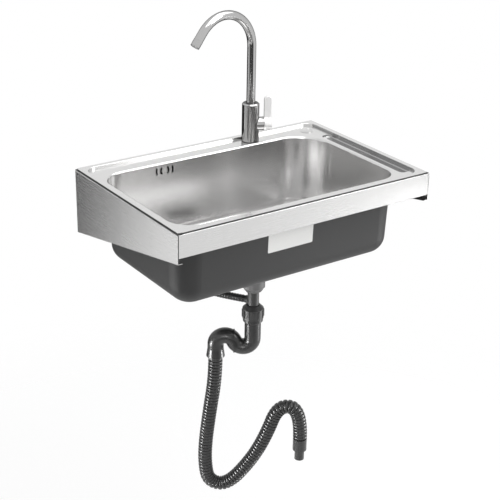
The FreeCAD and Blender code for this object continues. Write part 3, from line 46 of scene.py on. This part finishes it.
# Viewpoint: degrees round and above the sink, the roll of the picture, and the lens over its 36 mm sensor.
CAMERA_AT = (-1.56909, -2.47104, 1.10709)
CAMERA_AZIMUTH, CAMERA_ELEVATION, CAMERA_ROLL = -34.8937, 24.0981, 1.0771
LENS, SENSOR = 90.435, 36.0
CLIP_NEAR, CLIP_FAR = 0.05, 50.0

# Each hose lies in one upright plane through the drain; a point is (out from the drain, height).
DRAIN = (0.0, -0.239)
HOSE_AZIMUTH = 145.1
HOSE_ROUTE = [
    (0.0905, -0.391), (0.0905, -0.459), (0.104, -0.557), (0.115, -0.653), (0.116, -0.715),
    (0.107, -0.770), (0.058, -0.781), (-0.002, -0.705), (-0.038, -0.633), (-0.069, -0.538),
    (-0.126, -0.550), (-0.126, -0.635),
]
HOSE = dict(crest=0.018, root=0.0151, bore=0.01375, pitch=0.0087)

OVERFLOW_AZIMUTH = 125.6
OVERFLOW_ROUTE = [
    (0.020, -0.246), (0.058, -0.246), (0.1105, -0.243), (0.1605, -0.232), (0.2045, -0.204),
    (0.2325, -0.154), (0.2385, -0.054), (0.2385, 0.0455),
]
OVERFLOW = dict(crest=0.0095, root=0.0082, bore=0.0068, pitch=0.007)

# Share of a rib's pitch, and how far the wall there stands out from root to crest. The far flank mirrors it.
RIB_FLANK = [
    (0.07, 0.0), (0.10, 0.3), (0.14, 0.6), (0.19, 0.78), (0.26, 0.89), (0.34, 0.955), (0.42, 0.99),
]
RIB_FAR_FLANK = [(1 - share, rise) for share, rise in reversed(RIB_FLANK)]
RIB_PROFILE = [(0.0, 0.0)] + RIB_FLANK + [(0.5, 1.0)] + RIB_FAR_FLANK

# Sides of a hose, the order and the steps of the spline that it follows, and the least step between rings.
HOSE_SIDES = 40
LINE_ORDER = 3
LINE_STEPS = 24
LEAST_STEP = 1e-6


def link(obj):
    """Put an object into the scene."""
    SCENE.collection.objects.link(obj)
    return obj


def mesh_piece(name, points, faces, body, smooth=True):
    """A new piece from points and faces, riding on a body."""
    mesh = bpy.data.meshes.new(name)
    mesh.from_pydata(points, [], faces)
    mesh.validate()
    for face in mesh.polygons:
        face.use_smooth = smooth
    obj = link(bpy.data.objects.new(name, mesh))
    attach(obj, body)
    return obj


# Hoses


def upright_plane(route, azimuth):
    """Points of a route in the upright plane through the drain, in the part's frame."""
    turn = math.radians(azimuth)
    return [Vector((DRAIN[0] + out * math.cos(turn), DRAIN[1] + out * math.sin(turn), height))
            for out, height in route]


def spline_line(route):
    """Points read from the smooth line that has the route's points as its control points."""
    data = bpy.data.curves.new("route", "CURVE")
    data.dimensions = "3D"
    data.resolution_u = LINE_STEPS
    spline = data.splines.new("NURBS")
    spline.points.add(len(route) - 1)
    for point, place in zip(spline.points, route):
        point.co = (*place, 1.0)
    spline.order_u = LINE_ORDER
    spline.use_endpoint_u = True
    spline.resolution_u = LINE_STEPS
    carrier = link(bpy.data.objects.new("route", data))
    bpy.context.view_layer.update()
    mesh = bpy.data.meshes.new_from_object(carrier)
    line = [v.co.copy() for v in mesh.vertices]
    bpy.data.meshes.remove(mesh)
    bpy.data.objects.remove(carrier)
    bpy.data.curves.remove(data)
    return line


def line_length(line):
    """Length of a line through its points."""
    return sum((b - a).length for a, b in zip(line, line[1:]))


def frames_along(line, marks, across):
    """Place and two cross directions at each mark along the line; across is square to the line's plane."""
    frames = []
    start = 0.0
    index = 0
    last = len(line) - 2
    for mark in marks:
        while index < last and start + (line[index + 1] - line[index]).length < mark:
            start += (line[index + 1] - line[index]).length
            index += 1
        step = line[index + 1] - line[index]
        share = (mark - start) / step.length
        before = line[index] - line[index - 1] if index else step
        after = line[index + 2] - line[index + 1] if index < last else step
        heading = before.normalized() * (1 - share) + step.normalized() + after.normalized() * share
        heading.normalize()
        frames.append((line[index] + step * share, across, heading.cross(across).normalized()))
    return frames


def hose_rings(length, crest, root, bore, pitch):
    """Distance along and radius of each ring: out along the ribbed wall and back along the plain bore."""
    count = int(length / pitch)
    lead = (length - count * pitch) / 2
    wall = [(0.0, root)]
    wall += [(lead + (rib + share) * pitch, root + (crest - root) * rise)
             for rib in range(count) for share, rise in RIB_PROFILE]
    wall += [(length - lead, root), (length, root)]
    wall = [w for i, w in enumerate(wall) if i == 0 or w[0] - wall[i - 1][0] > LEAST_STEP]
    inner_steps = count * 2
    inner = [(length * i / inner_steps, bore) for i in range(inner_steps, -1, -1)]
    return wall + inner


def ribbed_hose(name, line, across, **size):
    """Hollow hose along a line, with rounded ribs all the way and a plain bore."""
    rings = hose_rings(line_length(line), **size)
    order = sorted(range(len(rings)), key=lambda i: rings[i][0])
    placed = dict(zip(order, frames_along(line, [rings[i][0] for i in order], across)))
    points = []
    for i, (_, radius) in enumerate(rings):
        centre, side, up = placed[i]
        for k in range(HOSE_SIDES):
            turn = math.tau * k / HOSE_SIDES
            points.append(centre + (side * math.cos(turn) + up * math.sin(turn)) * radius)
    faces = []
    for i in range(len(rings)):
        here = i * HOSE_SIDES
        there = (i + 1) % len(rings) * HOSE_SIDES
        for k in range(HOSE_SIDES):
            after = (k + 1) % HOSE_SIDES
            faces.append((here + k, here + after, there + after, there + k))
    return mesh_piece(name, points, faces, "sink")


def hose(name, route, azimuth, size):
    """One ribbed hose in its upright plane, and the line that it follows."""
    line = spline_line(upright_plane(route, azimuth))
    turn = math.radians(azimuth)
    across = Vector((-math.sin(turn), math.cos(turn), 0.0))
    piece = ribbed_hose(name, line, across, **size)
    return piece, line


def hoses():
    """The drain hose and the overflow hose, in place of their plainer solids."""
    drain, drain_line = hose("drain_hose_ribbed", HOSE_ROUTE, HOSE_AZIMUTH, HOSE)
    overflow, overflow_line = hose("overflow_hose_ribbed", OVERFLOW_ROUTE, OVERFLOW_AZIMUTH, OVERFLOW)
    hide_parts("drain_hose")
    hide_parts("overflow_hose")
    return drain, overflow


# Camera


def camera():
    """The camera of the main view, turned by its roll about the line of sight."""
    azimuth = math.radians(CAMERA_AZIMUTH)
    elevation = math.radians(CAMERA_ELEVATION)
    back = Vector((math.sin(azimuth) * math.cos(elevation), -math.cos(azimuth) * math.cos(elevation),
                   math.sin(elevation)))
    right = Vector((0, 0, 1)).cross(back).normalized()
    up = back.cross(right)
    turned = Matrix((right, up, back)).transposed() @ Matrix.Rotation(math.radians(CAMERA_ROLL), 3, "Z")
    data = bpy.data.cameras.new("camera")
    data.lens = LENS
    data.sensor_width = SENSOR
    data.clip_start = CLIP_NEAR
    data.clip_end = CLIP_FAR
    obj = link(bpy.data.objects.new("camera", data))
    obj.matrix_world = Matrix.Translation(CAMERA_AT) @ turned.to_4x4()
    SCENE.camera = obj


# Shader nodes


def put(tree, kind, inputs=None, **settings):
    """A new node with its settings, and each input either linked or set."""
    node = tree.nodes.new(kind)
    for key, value in settings.items():
        setattr(node, key, value)
    for key, value in (inputs or {}).items():
        if isinstance(value, bpy.types.NodeSocket):
            tree.links.new(value, node.inputs[key])
        else:
            node.inputs[key].default_value = value
    return node


def reckon(tree, operation, a, b):
    """The result of an operation on two numbers."""
    return put(tree, "ShaderNodeMath", {0: a, 1: b}, operation=operation).outputs[0]


def smooth_step(tree, value, start, end):
    """0 at start and 1 at end, with a smooth rise between them."""
    return put(tree, "ShaderNodeMapRange", {"Value": value, "From Min": start, "From Max": end},
               interpolation_type="SMOOTHSTEP").outputs["Result"]


def grey(value, warm=0.0):
    """A grey as a colour, a little warm above 0 and a little cold below."""
    return (value * (1 + warm), value, value * (1 - warm), 1.0)


# Finishes: colours and roughness change while their noise goes from the first of these values to the second.
NOISE_LOW, NOISE_HIGH = 0.3, 0.7


class Finish:
    """One material: a Principled shader whose colour, roughness and bump come from noise on the object."""

    def __init__(self, name, **sockets):
        self.material = bpy.data.materials.new(name)
        self.material.use_nodes = True
        self.tree = self.material.node_tree
        self.shader = next(n for n in self.tree.nodes if n.type == "BSDF_PRINCIPLED")
        for key, value in sockets.items():
            self.socket(key).default_value = value
        self.place = put(self.tree, "ShaderNodeTexCoord").outputs["Object"]

    def socket(self, key):
        """The shader's input that a name in lower case stands for."""
        return self.shader.inputs[key.replace("_", " ").title()]

    def use(self, **links):
        """Link each output to the shader's input of that name."""
        for key, output in links.items():
            self.tree.links.new(output, self.socket(key))

    def stretched(self, scale):
        """The place on the object, times a scale along each axis."""
        return put(self.tree, "ShaderNodeVectorMath", {0: self.place, 1: scale},
                   operation="MULTIPLY").outputs[0]

    def noise(self, scale, detail=3.0, roughness=0.55):
        """Noise of a number of features a metre, or of a number along each axis."""
        place = self.stretched(scale if isinstance(scale, tuple) else (scale,) * 3)
        return put(self.tree, "ShaderNodeTexNoise", {
            "Vector": place, "Scale": 1.0, "Detail": detail, "Roughness": roughness}).outputs["Fac"]

    def ramp(self, value, low, high):
        """Colour from low to high as the noise rises."""
        node = put(self.tree, "ShaderNodeValToRGB", {"Fac": value})
        for stop, place, colour in zip(node.color_ramp.elements, (NOISE_LOW, NOISE_HIGH), (low, high)):
            stop.position = place
            stop.color = colour
        return node.outputs["Color"]

    def span(self, value, low, high, start=NOISE_LOW, end=NOISE_HIGH):
        """Number from low to high as the value goes from start to end."""
        return put(self.tree, "ShaderNodeMapRange", {
            "Value": value, "From Min": start, "From Max": end, "To Min": low,
            "To Max": high}).outputs["Result"]

    def blend(self, a, b, share):
        """The mean of two values, with a share for the second."""
        first = reckon(self.tree, "MULTIPLY", a, 1 - share)
        second = reckon(self.tree, "MULTIPLY", b, share)
        return reckon(self.tree, "ADD", first, second)

    def bump(self, height, depth):
        """Raise the surface by a height of 0 to 1 times a depth in metres."""
        made = put(self.tree, "ShaderNodeBump", {"Height": height, "Distance": depth, "Strength": 1.0})
        self.use(normal=made.outputs["Normal"])

    def grain_round(self, axis, amount):
        """Stretch the highlights along the direction that goes round an axis."""
        self.socket("anisotropic").default_value = amount
        tangent = put(self.tree, "ShaderNodeTangent", direction_type="RADIAL", axis=axis)
        self.use(tangent=tangent.outputs["Tangent"])


# Metals: the warmth of steel, how much wider broad streaks are than scratches, handling marks a metre, and
# the darkest and palest colour of brass.
STEEL_WARMTH = 0.004
BROAD_STREAKS = 14
HANDLING_MARKS = 9.0
BRASS = ((0.60, 0.40, 0.15, 1), (0.76, 0.55, 0.25, 1))


def steel(tone, streak=0.05):
    """Darkest and palest colour of steel about a tone."""
    return grey(tone * (1 - streak), STEEL_WARMTH), grey(min(tone * (1 + streak), 1), STEEL_WARMTH)


def brushed(name, colours, rough, grain, depth=0.00001, swing=0.035, edge=1.0, metallic=1.0):
    """Brushed metal: fine scratches over faint handling marks; edge dims glancing light.

    The grain is scratches a metre along each axis: few along the brushing and many across it.
    """
    made = Finish(name, metallic=metallic, specular_tint=grey(edge))
    scratch = made.noise(grain, detail=4.0, roughness=0.6)
    broad = made.noise(tuple(g / BROAD_STREAKS for g in grain))
    marks = made.noise(HANDLING_MARKS, detail=4.0, roughness=0.6)
    made.use(base_color=made.ramp(made.blend(scratch, broad, share=0.3), *colours))
    made.use(roughness=made.span(made.blend(scratch, marks, share=0.35), rough - swing, rough + swing))
    made.bump(scratch, depth)
    return made


# Moulded pieces: clouds of tone a metre, and how far the roughness goes below and above its mean.
MOTTLING = 26.0
MATT_BELOW, MATT_ABOVE = 0.05, 0.06


def moulded(name, tone, rough, speckle=0.10, depth=0.00008, grain=1400.0):
    """Moulded plastic or rubber: faint mottling and a fine matt grain."""
    made = Finish(name)
    cloud = made.noise(MOTTLING, detail=4.0, roughness=0.6)
    fine = made.noise(grain, detail=2.0)
    made.use(base_color=made.ramp(made.blend(cloud, fine, share=0.35), grey(tone * (1 - speckle)),
                                  grey(tone * (1 + speckle))))
    made.use(roughness=made.span(made.blend(cloud, fine, share=0.5), rough - MATT_BELOW,
                                 rough + MATT_ABOVE))
    made.bump(fine, depth)
    return made


# Coating: pebbles, drifts and specks a metre, its tint, its darkest and palest share of the tone, how far the
# roughness goes below and above its mean, and the depth of its skin.
COAT_PEBBLES, COAT_DRIFTS, COAT_SPECKS = 420.0, 7.0, 900.0
COAT_WARMTH = -0.01
COAT_DARK, COAT_PALE = 0.86, 1.16
COAT_BELOW, COAT_ABOVE = 0.07, 0.08
COAT_DEPTH = 0.00018


def sprayed(name, tone, rough):
    """Sprayed coating: a fine pebbled skin with drifts of thicker and thinner spray."""
    made = Finish(name)
    place = made.stretched((COAT_PEBBLES,) * 3)
    pebble = put(made.tree, "ShaderNodeTexVoronoi", {"Vector": place, "Scale": 1.0},
                 feature="SMOOTH_F1").outputs["Distance"]
    drift = made.noise(COAT_DRIFTS, detail=4.0, roughness=0.6)
    speck = made.noise(COAT_SPECKS, detail=2.0)
    made.use(base_color=made.ramp(made.blend(drift, speck, share=0.45), grey(tone * COAT_DARK, COAT_WARMTH),
                                  grey(tone * COAT_PALE, COAT_WARMTH)))
    made.use(roughness=made.span(made.blend(drift, speck, share=0.5), rough - COAT_BELOW,
                                 rough + COAT_ABOVE))
    made.bump(made.blend(pebble, speck, share=0.3), COAT_DEPTH)
    return made


# Paper: fibres a metre along each axis, its two tones, its least and most roughness, and its depth.
PAPER_FIBRE = (700.0, 700.0, 2100.0)
PAPER_TONES = ((0.74, 0.74, 0.725, 1), (0.84, 0.84, 0.83, 1))
PAPER_ROUGH = (0.42, 0.55)
PAPER_DEPTH = 0.00003


def paper(name):
    """White label stock with a faint fibre and a thin gloss."""
    made = Finish(name, coat_weight=0.25, coat_roughness=0.25)
    fibre = made.noise(PAPER_FIBRE, detail=4.0, roughness=0.65)
    made.use(base_color=made.ramp(fibre, *PAPER_TONES))
    made.use(roughness=made.span(fibre, *PAPER_ROUGH))
    made.bump(fibre, PAPER_DEPTH)
    return made


# Painted shade in the trough right of the basin, and in the deck's wall beside it: the X where each starts
# and is full, and the Z below which it is full and above which it ends.
TROUGH_SHADE_ZONES = [(0.2935, 0.2975, 0.073, 0.078), (0.3235, 0.3255, 0.0842, 0.0849)]
# Colour of the painted shade in the trough and the wall beside it.
TROUGH_SHADE_TONE = 0.42


def paint_trough_shade(made):
    """Paint shade into the pressed trough and the wall beside it, darker than the deck and basin."""
    split = put(made.tree, "ShaderNodeSeparateXYZ", {0: made.place})
    zones = []
    for start, full, below, none in TROUGH_SHADE_ZONES:
        across = made.span(split.outputs["X"], 0.0, 1.0, start, full)
        under = made.span(split.outputs["Z"], 1.0, 0.0, below, none)
        zones.append(reckon(made.tree, "MULTIPLY", across, under))
    shade_mask = reckon(made.tree, "MAXIMUM", *zones)
    unshaded_colour = made.socket("base_color").links[0].from_socket
    # Inputs 6 and 7 and output 2 of this node are its colours.
    mixed = put(made.tree, "ShaderNodeMix", {0: shade_mask, 6: unshaded_colour, 7: grey(TROUGH_SHADE_TONE)}, data_type="RGBA")
    made.use(base_color=mixed.outputs[2])


# What the bracket's sheets share, how far their highlights stretch, and what the tap and its spout share.
BRACKET = dict(colours=steel(0.66, 0.012), rough=0.27, depth=0.0000008, swing=0.012)
BRACKET_STRETCH = 0.35
TAP = dict(rough=0.11, depth=0.0000001, swing=0.015, edge=0.1)


def bracket_steel(name, grain):
    """Brushed sheet of the bracket, whose highlights stretch round the upright axis."""
    made = brushed(name, grain=grain, **BRACKET)
    made.grain_round("Z", BRACKET_STRETCH)
    return made


def bowl_steel():
    """Satin sheet of the bowl, with shade painted into the trough."""
    made = brushed("bowl_steel", steel(0.71, 0.02), rough=0.20, grain=(9.0, 1300.0, 1300.0), depth=0.000002,
                   swing=0.02)
    # Painted shade in the trough and the wall beside it.
    paint_trough_shade(made)
    return made


def finishes():
    """The finish of each material slot, of the nodes that have one of their own, and of the hoses."""
    panel = bracket_steel("bracket_steel_side", (1500.0, 10.0, 1500.0))
    apron = bracket_steel("bracket_steel_front", (10.0, 1500.0, 1500.0))
    neck = brushed("spout_steel", steel(0.50, 0.03), grain=(1500.0, 1500.0, 60.0), **TAP)
    # Painted highlight: the lever is the tap's steel, given a far paler colour and made half metallic so that
    # it reads as lit.
    lever = brushed("lever_steel_painted_highlight", steel(0.95, 0.03), rough=0.42, grain=(1500.0, 1500.0, 30.0),
                    metallic=0.45)
    joiner = moulded("joiner_plastic", tone=0.034, rough=0.46, speckle=0.14)
    hose_plastic = moulded("hose_plastic", tone=0.020, rough=0.28, depth=0.00002, grain=900.0)
    by_slot = {
        "bracket_steel": panel,
        "bowl_steel": bowl_steel(),
        "tap_steel": brushed("tap_steel", steel(0.48, 0.03), grain=(26.0, 26.0, 2600.0), **TAP),
        "strainer_steel": brushed("strainer_steel", steel(0.66), rough=0.16, grain=(60.0, 60.0, 900.0)),
        "fastener_steel": brushed("fastener_steel", steel(0.64, 0.10), rough=0.22,
                                  grain=(500.0, 500.0, 500.0)),
        "brass": brushed("brass", BRASS, rough=0.24, grain=(40.0, 40.0, 2200.0)),
        "coating": sprayed("charcoal_coating", tone=0.023, rough=0.52),
        "black_plastic": moulded("drain_plastic", tone=0.024, rough=0.28, depth=0.00002),
        "grey_plastic": moulded("nut_plastic", tone=0.13, rough=0.5, speckle=0.14),
        "cartridge_plastic": moulded("cartridge_plastic", tone=0.72, rough=0.4, speckle=0.04),
        "seal_rubber": moulded("seal_rubber", tone=0.012, rough=0.6, speckle=0.2, depth=0.00012),
    }
    by_node = {
        "front_apron": apron,
        "spout_tube": neck,
        "lever_handle": lever,
        "tee_tailpiece": joiner,
        "union_nut": joiner,
    }
    return by_slot, by_node, hose_plastic


def dress(ribbed_pieces):
    """Give every carried-over node, and the hoses, their finish."""
    by_slot, by_node, hose_plastic = finishes()
    for part in frame["record"]["subparts"]:
        name = part["node"]
        made = by_node.get(name, by_slot[part["material_slot"]])
        data = NODES[name].data
        data.materials.clear()
        data.materials.append(made.material)
    for piece in ribbed_pieces:
        piece.data.materials.append(hose_plastic.material)


# The blank label on the front wall of the basin, which leans in by the draft below the deck.
WALL_AT_DECK, DECK_HEIGHT = -0.4198, 0.079
WALL_DRAFT = math.tan(math.radians(2.5))
LABEL_LEFT, LABEL_RIGHT, LABEL_FOOT, LABEL_TOP = -0.0868, 0.0362, -0.0345, 0.0115
LABEL_CORNER, LABEL_SHEET, LABEL_GAP = 0.003, 0.0003, 0.00005
LABEL_ARC_STEPS = 6


def label_outline():
    """Points round the label, in X and Z, with an arc at each corner."""
    corners = ((LABEL_RIGHT, LABEL_TOP, 0), (LABEL_LEFT, LABEL_TOP, 90),
               (LABEL_LEFT, LABEL_FOOT, 180), (LABEL_RIGHT, LABEL_FOOT, 270))
    outline = []
    for x, z, start in corners:
        centre_x = x - LABEL_CORNER if x == LABEL_RIGHT else x + LABEL_CORNER
        centre_z = z - LABEL_CORNER if z == LABEL_TOP else z + LABEL_CORNER
        for step in range(LABEL_ARC_STEPS + 1):
            turn = math.radians(start + 90 * step / LABEL_ARC_STEPS)
            outline.append((centre_x + LABEL_CORNER * math.cos(turn),
                            centre_z + LABEL_CORNER * math.sin(turn)))
    return outline


def blank_label():
    """A plain white label with rounded corners, lying on the coated wall."""
    outline = label_outline()
    points = []
    for stand in (LABEL_GAP, LABEL_GAP + LABEL_SHEET):
        points += [(x, WALL_AT_DECK + WALL_DRAFT * (DECK_HEIGHT - z) - stand, z) for x, z in outline]
    count = len(outline)
    faces = [tuple(range(count)), tuple(range(2 * count - 1, count - 1, -1))]
    faces += [(k, k + count, (k + 1) % count + count, (k + 1) % count) for k in range(count)]
    label = mesh_piece("blank_label", points, faces, "sink", smooth=False)
    label.data.materials.append(paper("label_paper").material)


# A black strip of painted shade in the corner between the apron and the left panel, and the gasket's front
# left end:
# each a block from its low corner to its high one, whose edges are softened by a share of its least side.
SHADE_STRIP_AND_GASKET = [
    # Painted shade: a black strip where the corner between the apron and the left panel lies in shade.
    ("corner_shade_strip_left", (-0.34275, -0.45395, 0.0285), (-0.3405, -0.45352, 0.0812)),
    ("gasket_end", (-0.3436, -0.4535, 0.08155), (-0.329, -0.4502, 0.0846)),
]
BLOCK_FACES = [(0, 1, 3, 2), (4, 6, 7, 5), (0, 4, 5, 1), (2, 3, 7, 6), (0, 2, 6, 4), (1, 5, 7, 3)]
STRIP_SOFTENING = 0.3
STRIP_SEGMENTS = 2


def shade_strip_and_gasket():
    """Thin black blocks with softened edges: painted shade in the apron's corner, and the rubber end of the
    gasket.
    """
    rubber = moulded("shade_strip_and_gasket_rubber", tone=0.012, rough=0.5, speckle=0.2, depth=0.00012)
    for name, low, high in SHADE_STRIP_AND_GASKET:
        sides = list(zip(low, high))
        points = [(x, y, z) for x in sides[0] for y in sides[1] for z in sides[2]]
        piece = mesh_piece(name, points, BLOCK_FACES, "sink", smooth=False)
        bevel = piece.modifiers.new("softened", "BEVEL")
        bevel.width = min(b - a for a, b in sides) * STRIP_SOFTENING
        bevel.segments = STRIP_SEGMENTS
        piece.data.materials.append(rubber.material)


# Studio: the surroundings' strength for matt surfaces and for reflections.
WHITE = (1, 1, 1, 1)
AMBIENT = 0.5
GLEAM = 0.96

# Azimuth of a dark flag, its half width, soft edge, foot and top in degrees, and how dark it is.
FLAGS = [
    (-34, 40, 10, -21, -9, 0.94),
    (-34, 40, 10, -60, -30, 0.75),
    (-157, 36, 12, -80, -4, 0.94),
    (112, 22, 10, -60, -28, 0.5),
    (150, 40, 14, -60, -28, 0.7),
    (-96, 18, 12, -50, -4, 0.45),
]
# Degrees over which a flag fades out above its top and below its foot.
FLAG_FADE = 6

# Name of a lamp, its place, the point that it faces, its width, height and watts, and its spread in degrees.
LAMPS = [
    ("top_softbox", (0.8, -0.9, 2.4), (0.0, -0.25, 0.0), 3.0, 2.4, 48),
    ("left_softbox", (-1.15, 0.30, -0.45), (-0.34, -0.38, 0.0), 0.7, 0.9, 0.32, 36),
    ("left_strip", (-1.8, 0.12, -0.92), (0.0, -0.25, -0.7), 0.5, 0.55, 4.0, 44),
    ("right_strip", (1.7, -1.35, -0.92), (0.0, -0.25, -0.7), 0.4, 0.55, 2.6, 44),
    ("front_softbox", (1.2, -1.7, 0.9), (0.0, -0.25, -0.3), 0.5, 0.5, 7),
    ("low_softbox", (-1.2, -1.9, 0.1), (0.0, -0.25, -0.4), 0.4, 0.35, 7),
]


def softbox(name, place, aim, width, height, power, spread=180):
    """A soft lamp at a place, facing a point; a grid in front of it narrows its spread in degrees."""
    data = bpy.data.lights.new(name, "AREA")
    data.shape = "RECTANGLE"
    data.size = width
    data.size_y = height
    data.energy = power
    data.spread = math.radians(spread)
    obj = link(bpy.data.objects.new(name, data))
    obj.location = place
    obj.rotation_mode = "QUATERNION"
    obj.rotation_quaternion = (Vector(aim) - Vector(place)).to_track_quat("-Z", "Y")
    obj.visible_camera = False


def sector(tree, azimuth, half, soft, foot, top):
    """1 in a sector of the surroundings about an azimuth, between two heights; 0 beyond its soft edges."""
    place = put(tree, "ShaderNodeTexCoord").outputs["Generated"]
    level = put(tree, "ShaderNodeVectorMath", {0: place, 1: (1, 1, 0)}, operation="MULTIPLY").outputs[0]
    level = put(tree, "ShaderNodeVectorMath", {0: level}, operation="NORMALIZE").outputs[0]
    turn = math.radians(azimuth)
    aligned = put(tree, "ShaderNodeVectorMath", {0: level, 1: (math.sin(turn), -math.cos(turn), 0)},
                  operation="DOT_PRODUCT").outputs["Value"]
    inside = smooth_step(tree, aligned, math.cos(math.radians(half + soft)), math.cos(math.radians(half)))
    rise = put(tree, "ShaderNodeSeparateXYZ", {0: place}).outputs["Z"]
    below = smooth_step(tree, rise, math.sin(math.radians(top + FLAG_FADE)), math.sin(math.radians(top)))
    above = smooth_step(tree, rise, math.sin(math.radians(foot - FLAG_FADE)), math.sin(math.radians(foot)))
    return reckon(tree, "MULTIPLY", inside, reckon(tree, "MULTIPLY", below, above))


def studio():
    """White surroundings, with dark flags that only reflections show, and the lamps."""
    world = bpy.data.worlds.new("studio")
    SCENE.world = world
    world.use_nodes = True
    tree = world.node_tree
    tree.nodes.clear()
    path = put(tree, "ShaderNodeLightPath")
    level = GLEAM
    for azimuth, half, soft, foot, top, depth in FLAGS:
        flag = put(tree, "ShaderNodeMapRange", {
            "Value": sector(tree, azimuth, half, soft, foot, top), "To Min": 1.0, "To Max": 1.0 - depth})
        level = reckon(tree, "MULTIPLY", level, flag.outputs["Result"])
    seen = put(tree, "ShaderNodeBackground", {"Color": WHITE, "Strength": 1.0})
    mirrored = put(tree, "ShaderNodeBackground", {"Color": WHITE, "Strength": level})
    ambient = put(tree, "ShaderNodeBackground", {"Color": WHITE, "Strength": AMBIENT})
    shiny = reckon(tree, "MAXIMUM", path.outputs["Is Glossy Ray"], path.outputs["Is Transmission Ray"])
    inner = put(tree, "ShaderNodeMixShader", {0: shiny, 1: ambient.outputs[0], 2: mirrored.outputs[0]})
    outer = put(tree, "ShaderNodeMixShader", {
        0: path.outputs["Is Camera Ray"], 1: inner.outputs[0], 2: seen.outputs[0]})
    put(tree, "ShaderNodeOutputWorld", {"Surface": outer.outputs[0]})
    for lamp in LAMPS:
        softbox(*lamp)


# Floor: a disc about a centre, its own tone and glow, and the shares of its radius where it fades out.
FLOOR_CENTRE = (0.0, -0.25, -1.25)
FLOOR_RADIUS = 2.1
FLOOR_TONE, FLOOR_GLOW = 0.42, 0.67
FLOOR_FADE_START, FLOOR_FADE_END = 0.45, 0.98
FLOOR_RINGS, FLOOR_SPOKES = 6, 64


def floor_mesh():
    """A flat disc of rings and spokes."""
    x, y, z = FLOOR_CENTRE
    points = [FLOOR_CENTRE]
    for ring in range(1, FLOOR_RINGS + 1):
        reach = FLOOR_RADIUS * ring / FLOOR_RINGS
        for k in range(FLOOR_SPOKES):
            turn = math.tau * k / FLOOR_SPOKES
            points.append((x + reach * math.cos(turn), y + reach * math.sin(turn), z))
    faces = [(0, 1 + k, 1 + (k + 1) % FLOOR_SPOKES) for k in range(FLOOR_SPOKES)]
    for ring in range(FLOOR_RINGS - 1):
        here = 1 + ring * FLOOR_SPOKES
        there = here + FLOOR_SPOKES
        for k in range(FLOOR_SPOKES):
            after = (k + 1) % FLOOR_SPOKES
            faces.append((here + k, there + k, there + after, here + after))
    mesh = bpy.data.meshes.new("floor")
    mesh.from_pydata(points, [], faces)
    return mesh


def floor():
    """Pale floor well below the hanging sink; it fades out at its edge and keeps a soft shadow."""
    mesh = floor_mesh()
    obj = link(bpy.data.objects.new("floor", mesh))
    material = bpy.data.materials.new("pale_floor")
    material.use_nodes = True
    tree = material.node_tree
    tree.nodes.clear()
    place = put(tree, "ShaderNodeTexCoord").outputs["Object"]
    away = put(tree, "ShaderNodeVectorMath", {0: place, 1: FLOOR_CENTRE}, operation="DISTANCE")
    fade = smooth_step(tree, away.outputs["Value"], FLOOR_RADIUS * FLOOR_FADE_START,
                       FLOOR_RADIUS * FLOOR_FADE_END)
    matt = put(tree, "ShaderNodeBsdfDiffuse", {"Color": grey(FLOOR_TONE)})
    glow = put(tree, "ShaderNodeEmission", {"Color": WHITE, "Strength": FLOOR_GLOW})
    both = put(tree, "ShaderNodeAddShader", {0: matt.outputs[0], 1: glow.outputs[0]})
    clear = put(tree, "ShaderNodeBsdfTransparent")
    mixed = put(tree, "ShaderNodeMixShader", {0: fade, 1: both.outputs[0], 2: clear.outputs[0]})
    put(tree, "ShaderNodeOutputMaterial", {"Surface": mixed.outputs[0]})
    mesh.materials.append(material)


camera()
dress(hoses())
blank_label()
shade_strip_and_gasket()
studio()
floor()
bpy.context.view_layer.update()
